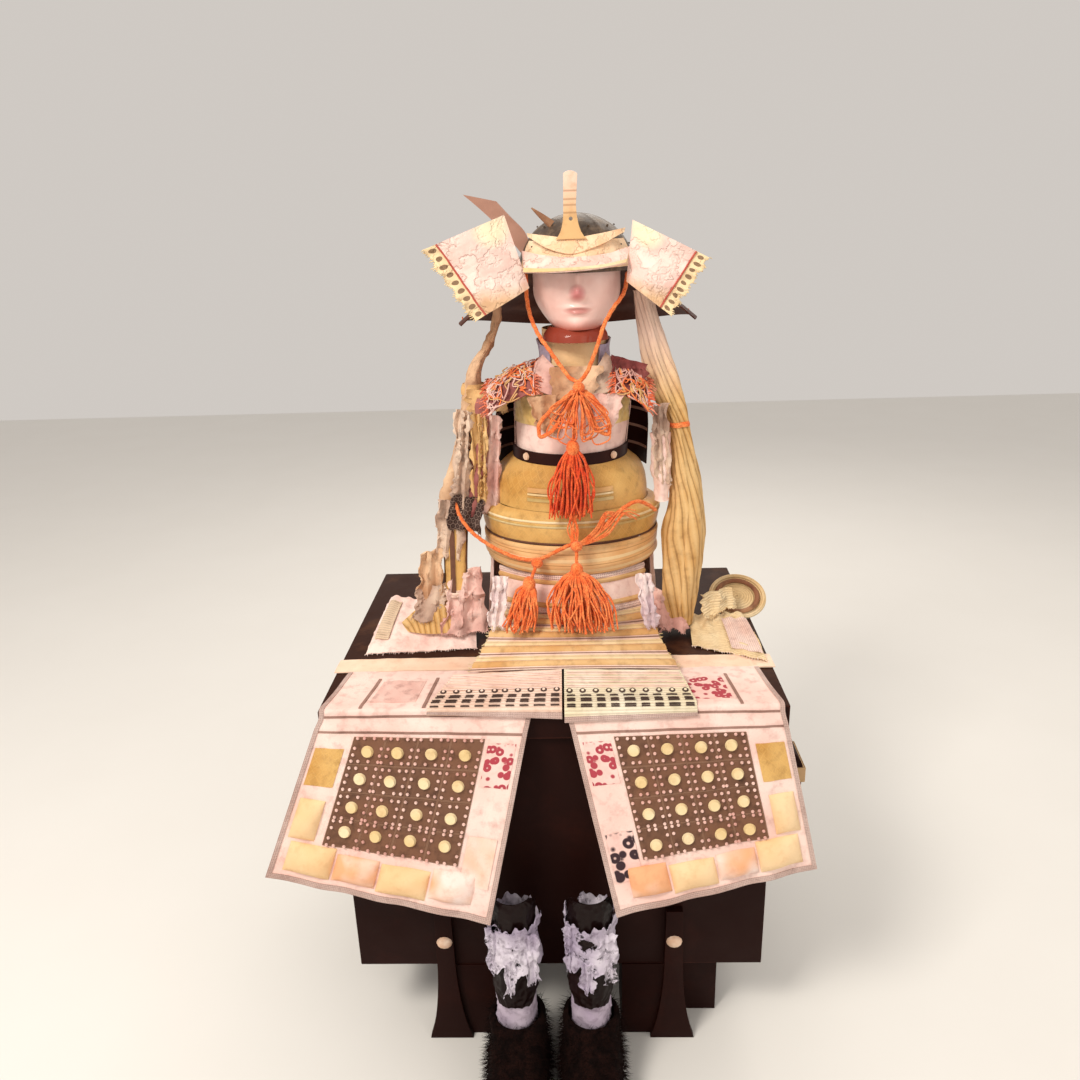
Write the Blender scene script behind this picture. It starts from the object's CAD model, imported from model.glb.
"""Looks of a samurai armour on its stand and storage chest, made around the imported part.

Metres, +Z up, the front faces -Y. Tables are in millimetres, with x measured from the chest's middle.
"""

import math

import bmesh
import bpy
import numpy as np
from mathutils import Matrix, Vector


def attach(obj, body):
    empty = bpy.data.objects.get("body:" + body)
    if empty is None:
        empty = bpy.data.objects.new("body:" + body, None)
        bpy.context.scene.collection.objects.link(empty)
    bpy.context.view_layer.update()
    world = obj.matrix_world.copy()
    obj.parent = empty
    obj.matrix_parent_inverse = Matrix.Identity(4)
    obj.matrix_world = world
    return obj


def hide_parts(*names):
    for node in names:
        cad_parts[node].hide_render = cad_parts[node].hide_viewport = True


bl_info = {
    "name": "Samurai armour looks",
    "version": (1, 0, 0),
    "blender": (4, 5, 0),
    "location": "View3D > Sidebar > Armour",
    "description": "Cloth, lacquer, cords and fur of an armour on its chest",
    "category": "Object",
}

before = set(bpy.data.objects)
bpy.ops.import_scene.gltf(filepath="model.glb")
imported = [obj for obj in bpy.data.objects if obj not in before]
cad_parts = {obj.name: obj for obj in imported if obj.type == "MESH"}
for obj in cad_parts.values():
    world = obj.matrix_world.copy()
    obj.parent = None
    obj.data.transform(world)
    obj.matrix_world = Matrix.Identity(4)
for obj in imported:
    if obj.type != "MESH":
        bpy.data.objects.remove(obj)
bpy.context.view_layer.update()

MM = 0.001
CENTRE_X = 26
TORSO_Y = 200
WAIST_X, HEAD_X, HEAD_Y = 38, 57, 200
NECK_X = 50
TAU = 2 * math.pi
UP = np.array([0.0, 0.0, 1.0])
FRONT = np.array([0.0, -1.0, 0.0])
FRONT_UP = np.array([0.0, -1.0, 0.6])


# Points and grids


def lerp(a, b, t):
    return a + (b - a) * t


def middle_x(z):
    """The figure's middle, in millimetres, leans over from waist to head."""
    return lerp(WAIST_X, HEAD_X, float(np.clip((z - 1050) / 300, 0, 1)))


def metres(rows):
    """Rows of points in millimetres from the chest's middle, as an array in metres."""
    return (np.asarray(rows, float) + [CENTRE_X, 0, 0]) * MM


def smooth(line, step, closed=False, straight=False):
    """Points about step millimetres apart on a smooth curve through all given ones."""
    line = np.asarray(line, float)
    n = len(line)
    if closed:
        line = line[np.arange(-2, n + 3) % n]
    gaps = np.linalg.norm(np.diff(line, axis=0), axis=-1).reshape(len(line) - 1, -1).mean(1)
    gaps = np.maximum(gaps, 1e-6)
    slope = np.gradient(line, np.concatenate([[0], np.cumsum(gaps)]), axis=0)
    made = []
    for k in range(2, n + 2) if closed else range(n - 1):
        h, a, b = gaps[k], line[k], line[k + 1]
        count = max(1, math.ceil(h / (step * MM)))
        for f in np.arange(count) / count:
            if straight:
                made.append(a + (b - a) * f)
                continue
            rest = 1 - f
            made.append(
                a * rest * rest * (1 + 2 * f) + b * f * f * (3 - 2 * f)
                + (slope[k] * rest - slope[k + 1] * f) * (f * rest * h)
            )
    if not closed:
        made.append(line[-1])
    return np.array(made)


def fine_grid(rows, step=5.0, closed=False, straight=False, across=None):
    """A fine grid on smooth curves through coarse rows of points in millimetres."""
    step = step * 1.35
    grid = smooth(metres(rows), step, straight=straight)
    return smooth(grid.swapaxes(0, 1), across or step, closed).swapaxes(0, 1)


def ring_of(x, y, half, front, back, z, angles):
    """Points in millimetres on an oval section, the angle counted from the front."""
    depth = np.where(np.cos(angles) > 0, front, back)
    return np.stack(
        [x + half * np.sin(angles), y - depth * np.cos(angles), np.full_like(angles, z)], axis=1
    )


def oval_rows(table, start=0.0, stop=360.0, count=24):
    """Sections (z, half, front, back) of the cuirass between two angles in degrees."""
    angles = np.radians(np.linspace(start, stop, count, endpoint=stop - start < 360))
    return np.array([
        ring_of(middle_x(z), TORSO_Y, half, front, back, z, angles)
        for z, half, front, back in table
    ])


def between(top, bottom, down, across=24):
    """Rows of points in millimetres between a smooth top edge and a smooth bottom edge."""
    edges = []
    for edge in (top, bottom):
        line = smooth(np.asarray(edge, float) * MM, 2.0) / MM
        at = np.concatenate([[0], np.cumsum(np.linalg.norm(np.diff(line, axis=0), axis=1))])
        want = np.linspace(0, at[-1], across)
        edges.append(np.stack([np.interp(want, at, line[:, k]) for k in range(3)], axis=1))
    t = np.linspace(0, 1, down)[:, None, None]
    return edges[0] * (1 - t) + edges[1] * t


def normals_of(grid, closed, outward):
    """Unit normals of a grid, and whether they follow its own winding."""
    across = (
        np.roll(grid, -1, 1) - np.roll(grid, 1, 1)
        if closed
        else np.gradient(grid, axis=1)
    )
    normals = np.cross(across, np.gradient(grid, axis=0))
    normals /= np.maximum(np.linalg.norm(normals, axis=2, keepdims=True), 1e-12)
    facing = outward(grid) if callable(outward) else np.asarray(outward, float)
    return (normals, True) if (normals * facing).sum() > 0 else (-normals, False)


def from_middle(grid):
    """Outward directions of a tube, away from the middle of each of its rows."""
    return grid - grid.mean(axis=1, keepdims=True)


def lengths(grid, closed=False):
    """Mean lengths from the first column to each column, and from the first row to each row."""
    ring = np.concatenate([grid, grid[:, :1]], axis=1) if closed else grid
    over = np.linalg.norm(np.diff(ring, axis=1), axis=2).mean(0)
    down = np.linalg.norm(np.diff(grid, axis=0), axis=2).mean(1)
    return np.concatenate([[0], np.cumsum(over)]), np.concatenate([[0], np.cumsum(down)])


def spans(grid, closed=False):
    """Mean width and length of a grid's cloth."""
    over, down = lengths(grid, closed)
    return float(over[-1]), float(down[-1])


def cut_places(grid, closed=False):
    """Where each point lies on the flat cut, from 0 to 1 across and down."""
    over, down = lengths(grid, closed)
    return np.meshgrid(over[: grid.shape[1]] / over[-1], down / down[-1])


def creases(grid, lines, closed=False):
    """Heights of soft troughs and ridges, each (s0, t0, s1, t1, width mm, height mm)."""
    width, length = spans(grid, closed)
    s, t = cut_places(grid, closed)
    height = np.zeros(grid.shape[:2])
    for s0, t0, s1, t1, wide, high in lines:
        ds, dt = (s1 - s0) * width, (t1 - t0) * length
        for turn in (-1, 0, 1) if closed else (0,):
            x, y = (s - s0 + turn) * width, (t - t0) * length
            along = np.clip((x * ds + y * dt) / max(ds * ds + dt * dt, 1e-12), 0, 1)
            off = np.hypot(x - along * ds, y - along * dt) / (wide * MM)
            height += high * MM * np.exp(-(off**2)) * np.sin(np.pi * (0.08 + 0.84 * along))
    return height


def crumple(grid, size, depth, seed, sharp=False):
    """Uneven bumps over a grid: waves of several directions, or their ridges."""
    draw = np.random.default_rng(seed)
    height = np.zeros(grid.shape[:2])
    for _ in range(7):
        way = draw.normal(size=3)
        way *= TAU / (size * MM * draw.uniform(0.6, 1.7) * np.linalg.norm(way))
        wave = np.sin(grid @ way + draw.uniform(0, TAU))
        height += 1 - 2 * np.abs(wave) if sharp else wave
    return height * depth * MM / 3.5


# Meshes


def linked(name, mesh, *finishes):
    piece = bpy.data.objects.new(name, mesh)
    bpy.context.scene.collection.objects.link(piece)
    for finish in finishes:
        mesh.materials.append(finish)
    return piece


def shell(name, grid, thick, finish, closed=False, outward=FRONT, raised=None, pole=False):
    """A thin wall behind a grid of outer points, with its flat cut as UV maps."""
    normals, straight = normals_of(grid, closed, outward)
    inner = grid - normals * (thick * MM)
    outer = grid if raised is None else grid + normals * raised[..., None]
    if pole:
        outer[-1], inner[-1] = outer[-1].mean(0), inner[-1].mean(0)
    rows, columns = grid.shape[:2]
    half = rows * columns
    i, j = np.meshgrid(
        np.arange(rows - 1), np.arange(columns if closed else columns - 1), indexing="ij"
    )
    i, j = i.ravel(), j.ravel()

    def corner(di, dj):
        return (i + di) * columns + (j + dj) % columns, (i + di) * (columns + 1) + j + dj

    corners = [corner(0, 0), corner(0, 1), corner(1, 1), corner(1, 0)]
    (a, ua), (b, ub), (c, uc), (d, ud) = corners
    top, bottom = i == 0, i == rows - 2
    left, right = (j == 0) & (not closed), (j == columns - 2) & (not closed)
    quads = [(a, b, c, d), (a + half, d + half, c + half, b + half)]
    maps = [(ua, ub, uc, ud), (ua, ud, uc, ub)]
    for edge, (p, up), (q, uq) in (
        (top, corners[1], corners[0]),
        (bottom, corners[3], corners[2]),
        (left, corners[0], corners[3]),
        (right, corners[2], corners[1]),
    ):
        p, up, q, uq = p[edge], up[edge], q[edge], uq[edge]
        quads.append((p, q, q + half, p + half))
        maps.append((up, uq, uq, up))
    faces = np.concatenate([np.stack(q, axis=1) for q in quads])
    uv_faces = np.concatenate([np.stack(m, axis=1) for m in maps])
    if not straight:
        faces, uv_faces = faces[:, ::-1], uv_faces[:, ::-1]
    mesh = bpy.data.meshes.new(name)
    mesh.from_pydata(np.concatenate([outer.reshape(-1, 3), inner.reshape(-1, 3)]).tolist(), [], faces.tolist())
    over, down = lengths(grid, closed)
    if not closed:
        over = np.append(over, over[-1])
    s, t = np.meshgrid(over, down)
    places = np.stack([s.ravel(), t.ravel()], axis=1)[uv_faces.ravel()]
    for map_name, scale in (("flat", 1.0), ("cut", 1 / np.array([over[-1], down[-1]]))):
        layer = mesh.uv_layers.new(name=map_name)
        layer.data.foreach_set("uv", (places * scale).astype(np.float32).ravel())
    if pole:
        work = bmesh.new()
        work.from_mesh(mesh)
        bmesh.ops.remove_doubles(work, verts=work.verts, dist=1e-7)
        work.to_mesh(mesh)
        work.free()
    mesh.shade_smooth()
    mesh.set_sharp_from_angle(angle=math.radians(50))
    return linked(name, mesh, finish)


def fit(piece, slot, *nodes):
    """The piece rides with the armour and stands for these solids."""
    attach(piece, "root")
    if nodes:
        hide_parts(*nodes)
    return piece


def cloth(name, grid, thick, finish, slot, node, held, rests_on=(), closed=False, **shape):
    """A thin shell of cloth, declared with the size that it was cut to."""
    piece = fit(shell(name, grid, thick, finish, closed, **shape), slot, *([node] if node else []))
    width, length = spans(grid, closed)
    ring = np.concatenate([grid, grid[:, :1]], axis=1) if closed else grid
    sides = np.diff(ring, axis=1)[:-1], np.diff(ring, axis=0)[:, :-1]
    area = float(np.linalg.norm(np.cross(*sides), axis=2).sum())
    flat = (max(round(width, 3), 0.01), max(round(length, 3), 0.01))
    area = min(max(area, 0.31 * flat[0] * flat[1]), flat[0] * flat[1])
    return piece


def softened(node, name, radius, finishes, slot, kind=None, segments=2):
    """A CAD node's own shape with welded corners and rounded edges."""
    work = bmesh.new()
    work.from_mesh(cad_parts[node].data)
    bmesh.ops.remove_doubles(work, verts=work.verts, dist=1e-5)
    bmesh.ops.dissolve_limit(
        work, angle_limit=math.radians(1), verts=work.verts, edges=work.edges
    )
    sharp = [e for e in work.edges if e.is_manifold and e.calc_face_angle() > math.radians(35)]
    made = bmesh.ops.bevel(
        work, geom=sharp, offset=radius * MM, segments=segments, profile=0.6,
        affect="EDGES", clamp_overlap=True,
    )
    for face in made["faces"]:
        face.material_index = min(1, len(finishes) - 1)
    for face in work.faces:
        if kind:
            face.material_index = kind(face.calc_center_median(), face.material_index)
    mesh = bpy.data.meshes.new(name)
    work.to_mesh(mesh)
    work.free()
    mesh.shade_smooth()
    mesh.set_sharp_from_angle(angle=math.radians(30))
    return fit(linked(name, mesh, *finishes), slot, node)


# Geometry Nodes


def repeat_tree(name, inputs):
    """An empty node tree with a geometry input, named inputs and a geometry output."""
    tree = bpy.data.node_groups.new(name, "GeometryNodeTree")
    face = tree.interface
    face.new_socket("Geometry", in_out="INPUT", socket_type="NodeSocketGeometry")
    for label, kind in inputs.items():
        face.new_socket(label, in_out="INPUT", socket_type=kind)
    face.new_socket("Geometry", in_out="OUTPUT", socket_type="NodeSocketGeometry")
    return tree, tree.nodes.new("NodeGroupInput"), tree.nodes.new("NodeGroupOutput")


def geo(tree, kind, settings=None, **sockets):
    """One node: its settings first, then values or links by socket name."""
    node = tree.nodes.new("GeometryNode" + kind if not kind.startswith("Function") else kind)
    for key, value in (settings or {}).items():
        setattr(node, key, value)
    for key, value in sockets.items():
        socket = node.inputs[key.replace("_", " ")]
        if isinstance(value, bpy.types.NodeSocket):
            tree.links.new(value, socket)
        else:
            socket.default_value = value
    return node


def end_tree(tree, out, geometry, finish_socket):
    real = geo(tree, "RealizeInstances", Geometry=geometry)
    done = geo(tree, "SetMaterial", Geometry=real.outputs[0], Material=finish_socket)
    tree.links.new(done.outputs[0], out.inputs[0])


def grown(name, source, tree, values):
    """The mesh that a node tree grows on a source mesh or curve, as a plain piece."""
    carrier = bpy.data.objects.new(name + "_carrier", source)
    bpy.context.scene.collection.objects.link(carrier)
    modifier = carrier.modifiers.new("grow", "NODES")
    modifier.node_group = tree
    for item in tree.interface.items_tree:
        if item.in_out == "INPUT" and item.name in values:
            modifier[item.identifier] = values[item.name]
    ready = carrier.evaluated_get(bpy.context.evaluated_depsgraph_get())
    mesh = bpy.data.meshes.new_from_object(ready)
    mesh.name = name
    piece = bpy.data.objects.new(name, mesh)
    bpy.context.scene.collection.objects.link(piece)
    carrier.modifiers.clear()
    bpy.data.objects.remove(carrier)
    return piece


def bosses_tree():
    """Domed or flat-topped bosses, one on each point, standing along its normal."""
    tree, given, out = repeat_tree(
        "bosses",
        {
            "Sides": "NodeSocketInt",
            "Foot": "NodeSocketFloat",
            "Crown": "NodeSocketFloat",
            "Height": "NodeSocketFloat",
            "Finish": "NodeSocketMaterial",
        },
    )
    sides, foot, crown, height, finish = (
        given.outputs[k] for k in ("Sides", "Foot", "Crown", "Height", "Finish")
    )
    cone = geo(
        tree, "MeshCone", Vertices=sides, Side_Segments=2, Fill_Segments=2,
        Radius_Top=crown, Radius_Bottom=foot, Depth=height,
    )
    way = geo(tree, "InputNamedAttribute", {"data_type": "FLOAT_VECTOR"}, Name="way")
    turned = geo(tree, "FunctionNodeAlignRotationToVector", {"axis": "Z"}, Vector=way.outputs[0])
    placed = geo(
        tree, "InstanceOnPoints", Points=given.outputs[0], Instance=cone.outputs[0],
        Rotation=turned.outputs[0],
    )
    end_tree(tree, out, placed.outputs[0], finish)
    return tree


def strands_tree():
    """Tapered strands along every spline of a curve."""
    tree, given, out = repeat_tree(
        "strands",
        {"Radius": "NodeSocketFloat", "Sides": "NodeSocketInt", "Finish": "NodeSocketMaterial"},
    )
    section = geo(
        tree, "CurvePrimitiveCircle", Resolution=given.outputs["Sides"],
        Radius=given.outputs["Radius"],
    )
    taper = geo(tree, "InputNamedAttribute", {"data_type": "FLOAT"}, Name="radius")
    tubes = geo(
        tree, "CurveToMesh", Curve=given.outputs[0], Profile_Curve=section.outputs[0],
        Fill_Caps=True,
    )
    scale = [k for k in tubes.inputs if k.name == "Scale"]
    if scale:
        tree.links.new(taper.outputs[0], scale[0])
    end_tree(tree, out, tubes.outputs[0], given.outputs["Finish"])
    return tree


def pelt_tree():
    """Short hairs scattered over a skin, leaning down and a little astray."""
    tree, given, out = repeat_tree(
        "pelt",
        {
            "Density": "NodeSocketFloat",
            "Length": "NodeSocketFloat",
            "Thickness": "NodeSocketFloat",
            "Seed": "NodeSocketInt",
            "Finish": "NodeSocketMaterial",
        },
    )
    skin = given.outputs[0]
    length, thickness, seed = (given.outputs[k] for k in ("Length", "Thickness", "Seed"))
    points = geo(
        tree, "DistributePointsOnFaces", Mesh=skin, Density=given.outputs["Density"], Seed=seed
    )
    hair = geo(
        tree, "MeshCone", Vertices=3, Side_Segments=1, Radius_Top=0.0, Radius_Bottom=thickness,
        Depth=length,
    )
    lean = geo(
        tree, "FunctionNodeRandomValue", {"data_type": "FLOAT_VECTOR"}, Seed=seed,
    )
    lean.inputs[0].default_value = (-0.8, -0.8, -1.1)
    lean.inputs[1].default_value = (0.8, 0.8, 0.1)
    normal = geo(tree, "InputNormal")
    way = tree.nodes.new("ShaderNodeVectorMath")
    tree.links.new(points.outputs["Normal"], way.inputs[0])
    tree.links.new(lean.outputs[0], way.inputs[1])
    tree.nodes.remove(normal)
    turned = geo(tree, "FunctionNodeAlignRotationToVector", {"axis": "Z"}, Vector=way.outputs[0])
    size = geo(tree, "FunctionNodeRandomValue", {"data_type": "FLOAT"}, Seed=seed)
    low, high = [s for s in size.inputs if s.name in ("Min", "Max") and s.type == "VALUE"]
    low.default_value, high.default_value = 0.6, 1.2
    number = [s for s in size.outputs if s.type == "VALUE"][0]
    placed = geo(
        tree, "InstanceOnPoints", Points=points.outputs["Points"], Instance=hair.outputs[0],
        Rotation=turned.outputs[0], Scale=number,
    )
    end_tree(tree, out, placed.outputs[0], given.outputs["Finish"])
    return tree


BOSSES, STRANDS, PELT = bosses_tree(), strands_tree(), pelt_tree()


def bossed(name, places, ways, finish, slot, foot, crown, height, sides=6):
    """Raised bosses at places, standing along ways. Sizes in millimetres."""
    mesh = bpy.data.meshes.new(name + "_points")
    mesh.from_pydata([tuple(p) for p in places], [], [])
    way = mesh.attributes.new("way", "FLOAT_VECTOR", "POINT")
    way.data.foreach_set("vector", np.asarray(ways, np.float32).ravel())
    piece = grown(name, mesh, BOSSES, {
        "Sides": sides, "Foot": foot * MM, "Crown": crown * MM, "Height": height * MM,
        "Finish": finish,
    })
    return fit(piece, slot)


def strands(name, lines, radius, finish, slot, nodes=(), sides=4, taper=0.5):
    """A joined bundle of strands along lines of points, thinner at their ends."""
    curve = bpy.data.curves.new(name + "_lines", "CURVE")
    curve.dimensions = "3D"
    for line in lines:
        spline = curve.splines.new("POLY")
        spline.points.add(len(line) - 1)
        spline.points.foreach_set(
            "co", np.concatenate([np.asarray(line), np.ones((len(line), 1))], axis=1).ravel()
        )
        spline.points.foreach_set("radius", np.linspace(1, taper, len(line)))
    piece = grown(name, curve, STRANDS, {"Radius": radius * MM, "Sides": sides, "Finish": finish})
    piece.data.shade_smooth()
    return fit(piece, slot, *nodes)


def patch(grid, s0, s1, t0, t1, lift, step=5.0):
    """Part of a grid between fractions of its width and length, lifted off it."""
    over, down = lengths(grid)
    over, down = over / over[-1], down / down[-1]
    normals, _ = normals_of(grid, False, FRONT_UP)
    raised = grid + normals * (lift * MM)

    def picked(values, at, low, high, axis):
        inside = at[(at > low + 1e-4) & (at < high - 1e-4)]
        want = np.concatenate([[low], inside, [high]])
        k = np.clip(np.searchsorted(at, want, "right") - 1, 0, len(at) - 2)
        f = (want - at[k]) / (at[k + 1] - at[k])
        shape = [1] * values.ndim
        shape[axis] = -1
        f = f.reshape(shape)
        return np.take(values, k, axis) * (1 - f) + np.take(values, k + 1, axis) * f

    return picked(picked(raised, down, t0, t1, 0), over, s0, s1, 1)


# Finishes


def tint(code):
    """A hex code as a linear colour."""
    parts = (int(code[i : i + 2], 16) / 255 for i in (0, 2, 4))
    return (*(c / 12.92 if c <= 0.04045 else ((c + 0.055) / 1.055) ** 2.4 for c in parts), 1.0)


class Value:
    """A number in a finish. Arithmetic on it adds Math nodes."""

    def __init__(self, finish, socket):
        self.finish = finish
        self.socket = socket

    def math(self, kind, *others, swap=False, clamp=False):
        node = self.finish.tree.nodes.new("ShaderNodeMath")
        node.operation = kind
        node.use_clamp = clamp
        terms = (self, *others)
        for socket, term in zip(node.inputs, terms[::-1] if swap else terms):
            self.finish.put(socket, term)
        return Value(self.finish, node.outputs[0])

    def __add__(self, other):
        return self.math("ADD", other)

    def __mul__(self, other):
        return self.math("MULTIPLY", other)

    __radd__ = __add__
    __rmul__ = __mul__

    def __sub__(self, other):
        return self.math("SUBTRACT", other)

    def __rsub__(self, other):
        return self.math("SUBTRACT", other, swap=True)

    def __truediv__(self, other):
        return self.math("DIVIDE", other)

    def __abs__(self):
        return self.math("ABSOLUTE")

    def __lt__(self, other):
        return self.math("LESS_THAN", other)

    def __gt__(self, other):
        return self.math("GREATER_THAN", other)

    def sin(self):
        return self.math("SINE")

    def fract(self):
        return self.math("FRACT")

    def least(self, other):
        return self.math("MINIMUM", other)

    def most(self, other):
        return self.math("MAXIMUM", other)

    def ease(self, low, high):
        """0 below low and 1 above high, straight between them."""
        return (self - low).math("DIVIDE", high - low, clamp=True)

    def within(self, low, high, soft):
        """1 between low and high and 0 outside, over a soft edge."""
        return self.ease(low - soft, low + soft) * (1 - self.ease(high - soft, high + soft))


class Finish:
    """A procedural material, built node by node."""

    def __init__(self, name):
        self.material = bpy.data.materials.new(name)
        self.material.use_nodes = True
        self.tree = self.material.node_tree
        self.tree.nodes.clear()

    def put(self, socket, value):
        if isinstance(value, Value):
            value = value.socket
        if isinstance(value, bpy.types.NodeSocket):
            self.tree.links.new(value, socket)
        else:
            socket.default_value = tint(value) if isinstance(value, str) else value

    def node(self, kind, settings=None, **sockets):
        """A node: its settings first, then values or links by socket name or number."""
        node = self.tree.nodes.new("ShaderNode" + kind)
        for key, value in (settings or {}).items():
            setattr(node, key, value)
        for key, value in sockets.items():
            number = key[1:]
            self.put(node.inputs[int(number) if number.isdigit() else key.replace("_", " ")], value)
        return node

    def place(self, where="object"):
        """Object coordinates, or a piece's own UV map: flat in metres, cut from 0 to 1."""
        if where == "object":
            return self.node("TexCoord").outputs["Object"]
        return self.node("UVMap", {"uv_map": where}).outputs[0]

    def axes(self, where="object"):
        parts = self.node("SeparateXYZ", Vector=self.place(where)).outputs
        return [Value(self, k) for k in parts]

    def noise(self, scale, where="object", detail=3.0, rough=0.55):
        node = self.node(
            "TexNoise", Vector=self.place(where), Scale=scale, Detail=detail, Roughness=rough
        )
        return Value(self, node.outputs[0])

    def cells(self, scale, where="object", feature="F1"):
        node = self.node(
            "TexVoronoi", {"feature": feature}, Vector=self.place(where), Scale=scale
        )
        return Value(self, node.outputs["Distance"])

    def mix(self, factor, a, b):
        node = self.node("Mix", {"data_type": "RGBA"}, _0=factor, _6=a, _7=b)
        return node.outputs[2]

    def done(self, colour, rough=0.7, metal=0.0, bump=None, height=0.3, coat=0.0, sheen=0.0, shine=0.3, alpha=1.0):
        shader = self.node(
            "BsdfPrincipled", Base_Color=colour, Roughness=rough, Metallic=metal,
            Coat_Weight=coat, Sheen_Weight=sheen, Specular_IOR_Level=shine, Alpha=alpha,
        )
        if bump is not None:
            self.put(
                shader.inputs["Normal"],
                self.node("Bump", Strength=1.0, Distance=height * MM, Height=bump).outputs[0],
            )
        self.node("OutputMaterial", Surface=shader.outputs[0])
        return self.material


def textile(name, light, mid, dark, wear=0.5, crinkle=0.8, rib=0.0, rough=0.85, sheen=0.0, design=None, torn=0.0):
    """Woven cloth: threads, slubs, crinkles, stains and, if asked, a woven design."""
    f = Finish(name)
    u, v = f.axes("flat")[:2]
    threads = (u * (TAU / 0.0022)).sin() * (v * (TAU / 0.0022)).sin()
    slubs = f.noise(320, "flat", 2)
    folds = f.noise(55, "object", 4, 0.6)
    colour = f.mix(f.noise(11, detail=2).ease(0.38, 0.62), light, mid)
    colour = f.mix(folds.ease(0.5, 0.72) * wear, colour, dark)
    bump = folds * crinkle + slubs * 0.25 + threads * 0.1
    if rib:
        ribs = (v * (TAU / rib)).sin()
        colour = f.mix(ribs.ease(0.2, 1.0) * 0.35, colour, dark)
        bump = bump + ribs * 0.35
    if design:
        colour, extra = design(f, colour)
        bump = bump + extra
    holes = f.noise(26, detail=5, rough=0.7).ease(torn - 0.03, torn + 0.02) if torn else 1.0
    return f.done(colour, rough, bump=bump, height=1.6, sheen=sheen, alpha=holes)


ROOT3 = math.sqrt(3)


def hexagons(f, size, where="flat"):
    """How far a place is from the middle of its six-sided cell, 0 to 0.5."""
    u, v = f.axes(where)[:2]

    def lattice(shift):
        x = abs((u / size + shift).fract() - 0.5)
        y = abs((v / (size * ROOT3) + shift).fract() - 0.5) * ROOT3
        return x.most(x * 0.5 + y * (ROOT3 / 2))

    return lattice(0.0).least(lattice(0.5))


def diamonds(f, wide, high, where="flat"):
    u, v = f.axes(where)[:2]
    return abs((u / wide).fract() - 0.5) + abs((v / high).fract() - 0.5)


def brocade(light, strength=1.0, size=0.017):
    """A woven repeat of flowers of four petals in a lattice of diamonds."""

    def design(f, colour):
        far = diamonds(f, size, size * 1.2)
        lattice = far.within(0.44, 0.52, 0.02)
        flower = 1 - abs(far - 0.12 * (f.cells(1 / (size * 0.4), "flat") + 0.6)).ease(0.02, 0.09)
        drawn = lattice.most(flower * 0.8) * strength
        return f.mix(drawn, colour, light), drawn * 0.35

    return design


def lattice(line, size=0.25):
    """A quarter of the cut to each square, with thin paired lines between."""

    def design(f, colour):
        s, t = f.axes("cut")[:2]
        x, y = abs((s / size).fract() - 0.5), abs((t / size).fract() - 0.5)
        far = x.most(y)
        drawn = far.within(0.47, 0.5, 0.01).most(far.within(0.42, 0.435, 0.006) * 0.6)
        return f.mix(drawn * 0.7, colour, line), drawn * 0.4

    return design


def petals(red, size=0.013):
    """Scattered red petals with pale middles."""

    def design(f, colour):
        far = f.cells(1 / size, "flat")
        drawn = (1 - far.ease(0.5, 0.58)) * far.ease(0.1, 0.2)
        return f.mix(drawn, colour, red), drawn * 0.2

    return design


def drape_lines(f, colour):
    """Slanting pleat lines down a draped sleeve, paler and pinker towards its top."""
    u, v = f.axes("flat")[:2]
    z = f.axes()[2]
    line = ((u - v * 0.16) / 0.013 + f.noise(6) * 0.7).fract()
    fold = line.within(0.0, 0.16, 0.05)
    colour = f.mix(fold * 0.45, colour, "8c5f33")
    colour = f.mix(line.within(0.45, 0.8, 0.12) * 0.35, colour, "f0d09a")
    colour = f.mix(z.ease(1.17, 1.29) * 0.85, colour, "f2d3c4")
    return colour, (1 - fold) * 0.8


def kikko(line, size=0.026):
    """Tortoiseshell cells with a dot in each."""

    def design(f, colour):
        far = hexagons(f, size)
        drawn = far.ease(0.42, 0.45).most(1 - far.ease(0.05, 0.09))
        return f.mix(drawn, colour, line), drawn * 0.4

    return design


def stripes(light, dark, pitch=0.05, lengthways=True):
    """Stripes of uneven width."""

    def design(f, colour):
        u, v = f.axes("flat")[:2]
        at = (u if lengthways else v) / pitch
        wide = at.fract().within(0.08, 0.4, 0.015)
        thin = at.fract().within(0.62, 0.7, 0.012)
        colour = f.mix(wide * 0.75, colour, light)
        return f.mix(thin * 0.8, colour, dark), wide * 0.15

    return design


def twill(dark, pitch=0.005, strength=0.5):
    """Slanting ribs of a braid."""

    def design(f, colour):
        u, v = f.axes("flat")[:2]
        ribs = ((u + v) * (TAU / pitch)).sin() * ((u - v) * (TAU / pitch)).sin()
        return f.mix(ribs.ease(0.0, 1.0) * strength, colour, dark), ribs * 0.4

    return design


def lacquered(name, base, worn, rough=0.3, coat=0.5, scratch=0.5):
    """Lacquer over wood: a low gloss, thin scratches and rubbed places."""
    f = Finish(name)
    rubbed = f.noise(7, detail=6, rough=0.7)
    fine = f.noise(140, detail=4)
    colour = f.mix(rubbed.ease(0.52, 0.8) * scratch, base, worn)
    colour = f.mix(fine.ease(0.62, 0.75) * 0.25 * scratch, colour, worn)
    return f.done(
        colour, f.noise(18, detail=5).ease(0.1, 1.4) * 0.35 + rough, coat=coat, bump=fine, height=0.12, shine=0.1
    )


def plated(name, base, light, rough=0.4, metal=0.3):
    f = Finish(name)
    rust = f.noise(45, detail=6, rough=0.7)
    colour = f.mix(rust.ease(0.45, 0.75), base, light)
    return f.done(colour, rust * 0.4 + rough - 0.1, metal, bump=rust, height=0.5, coat=0.2)


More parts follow.
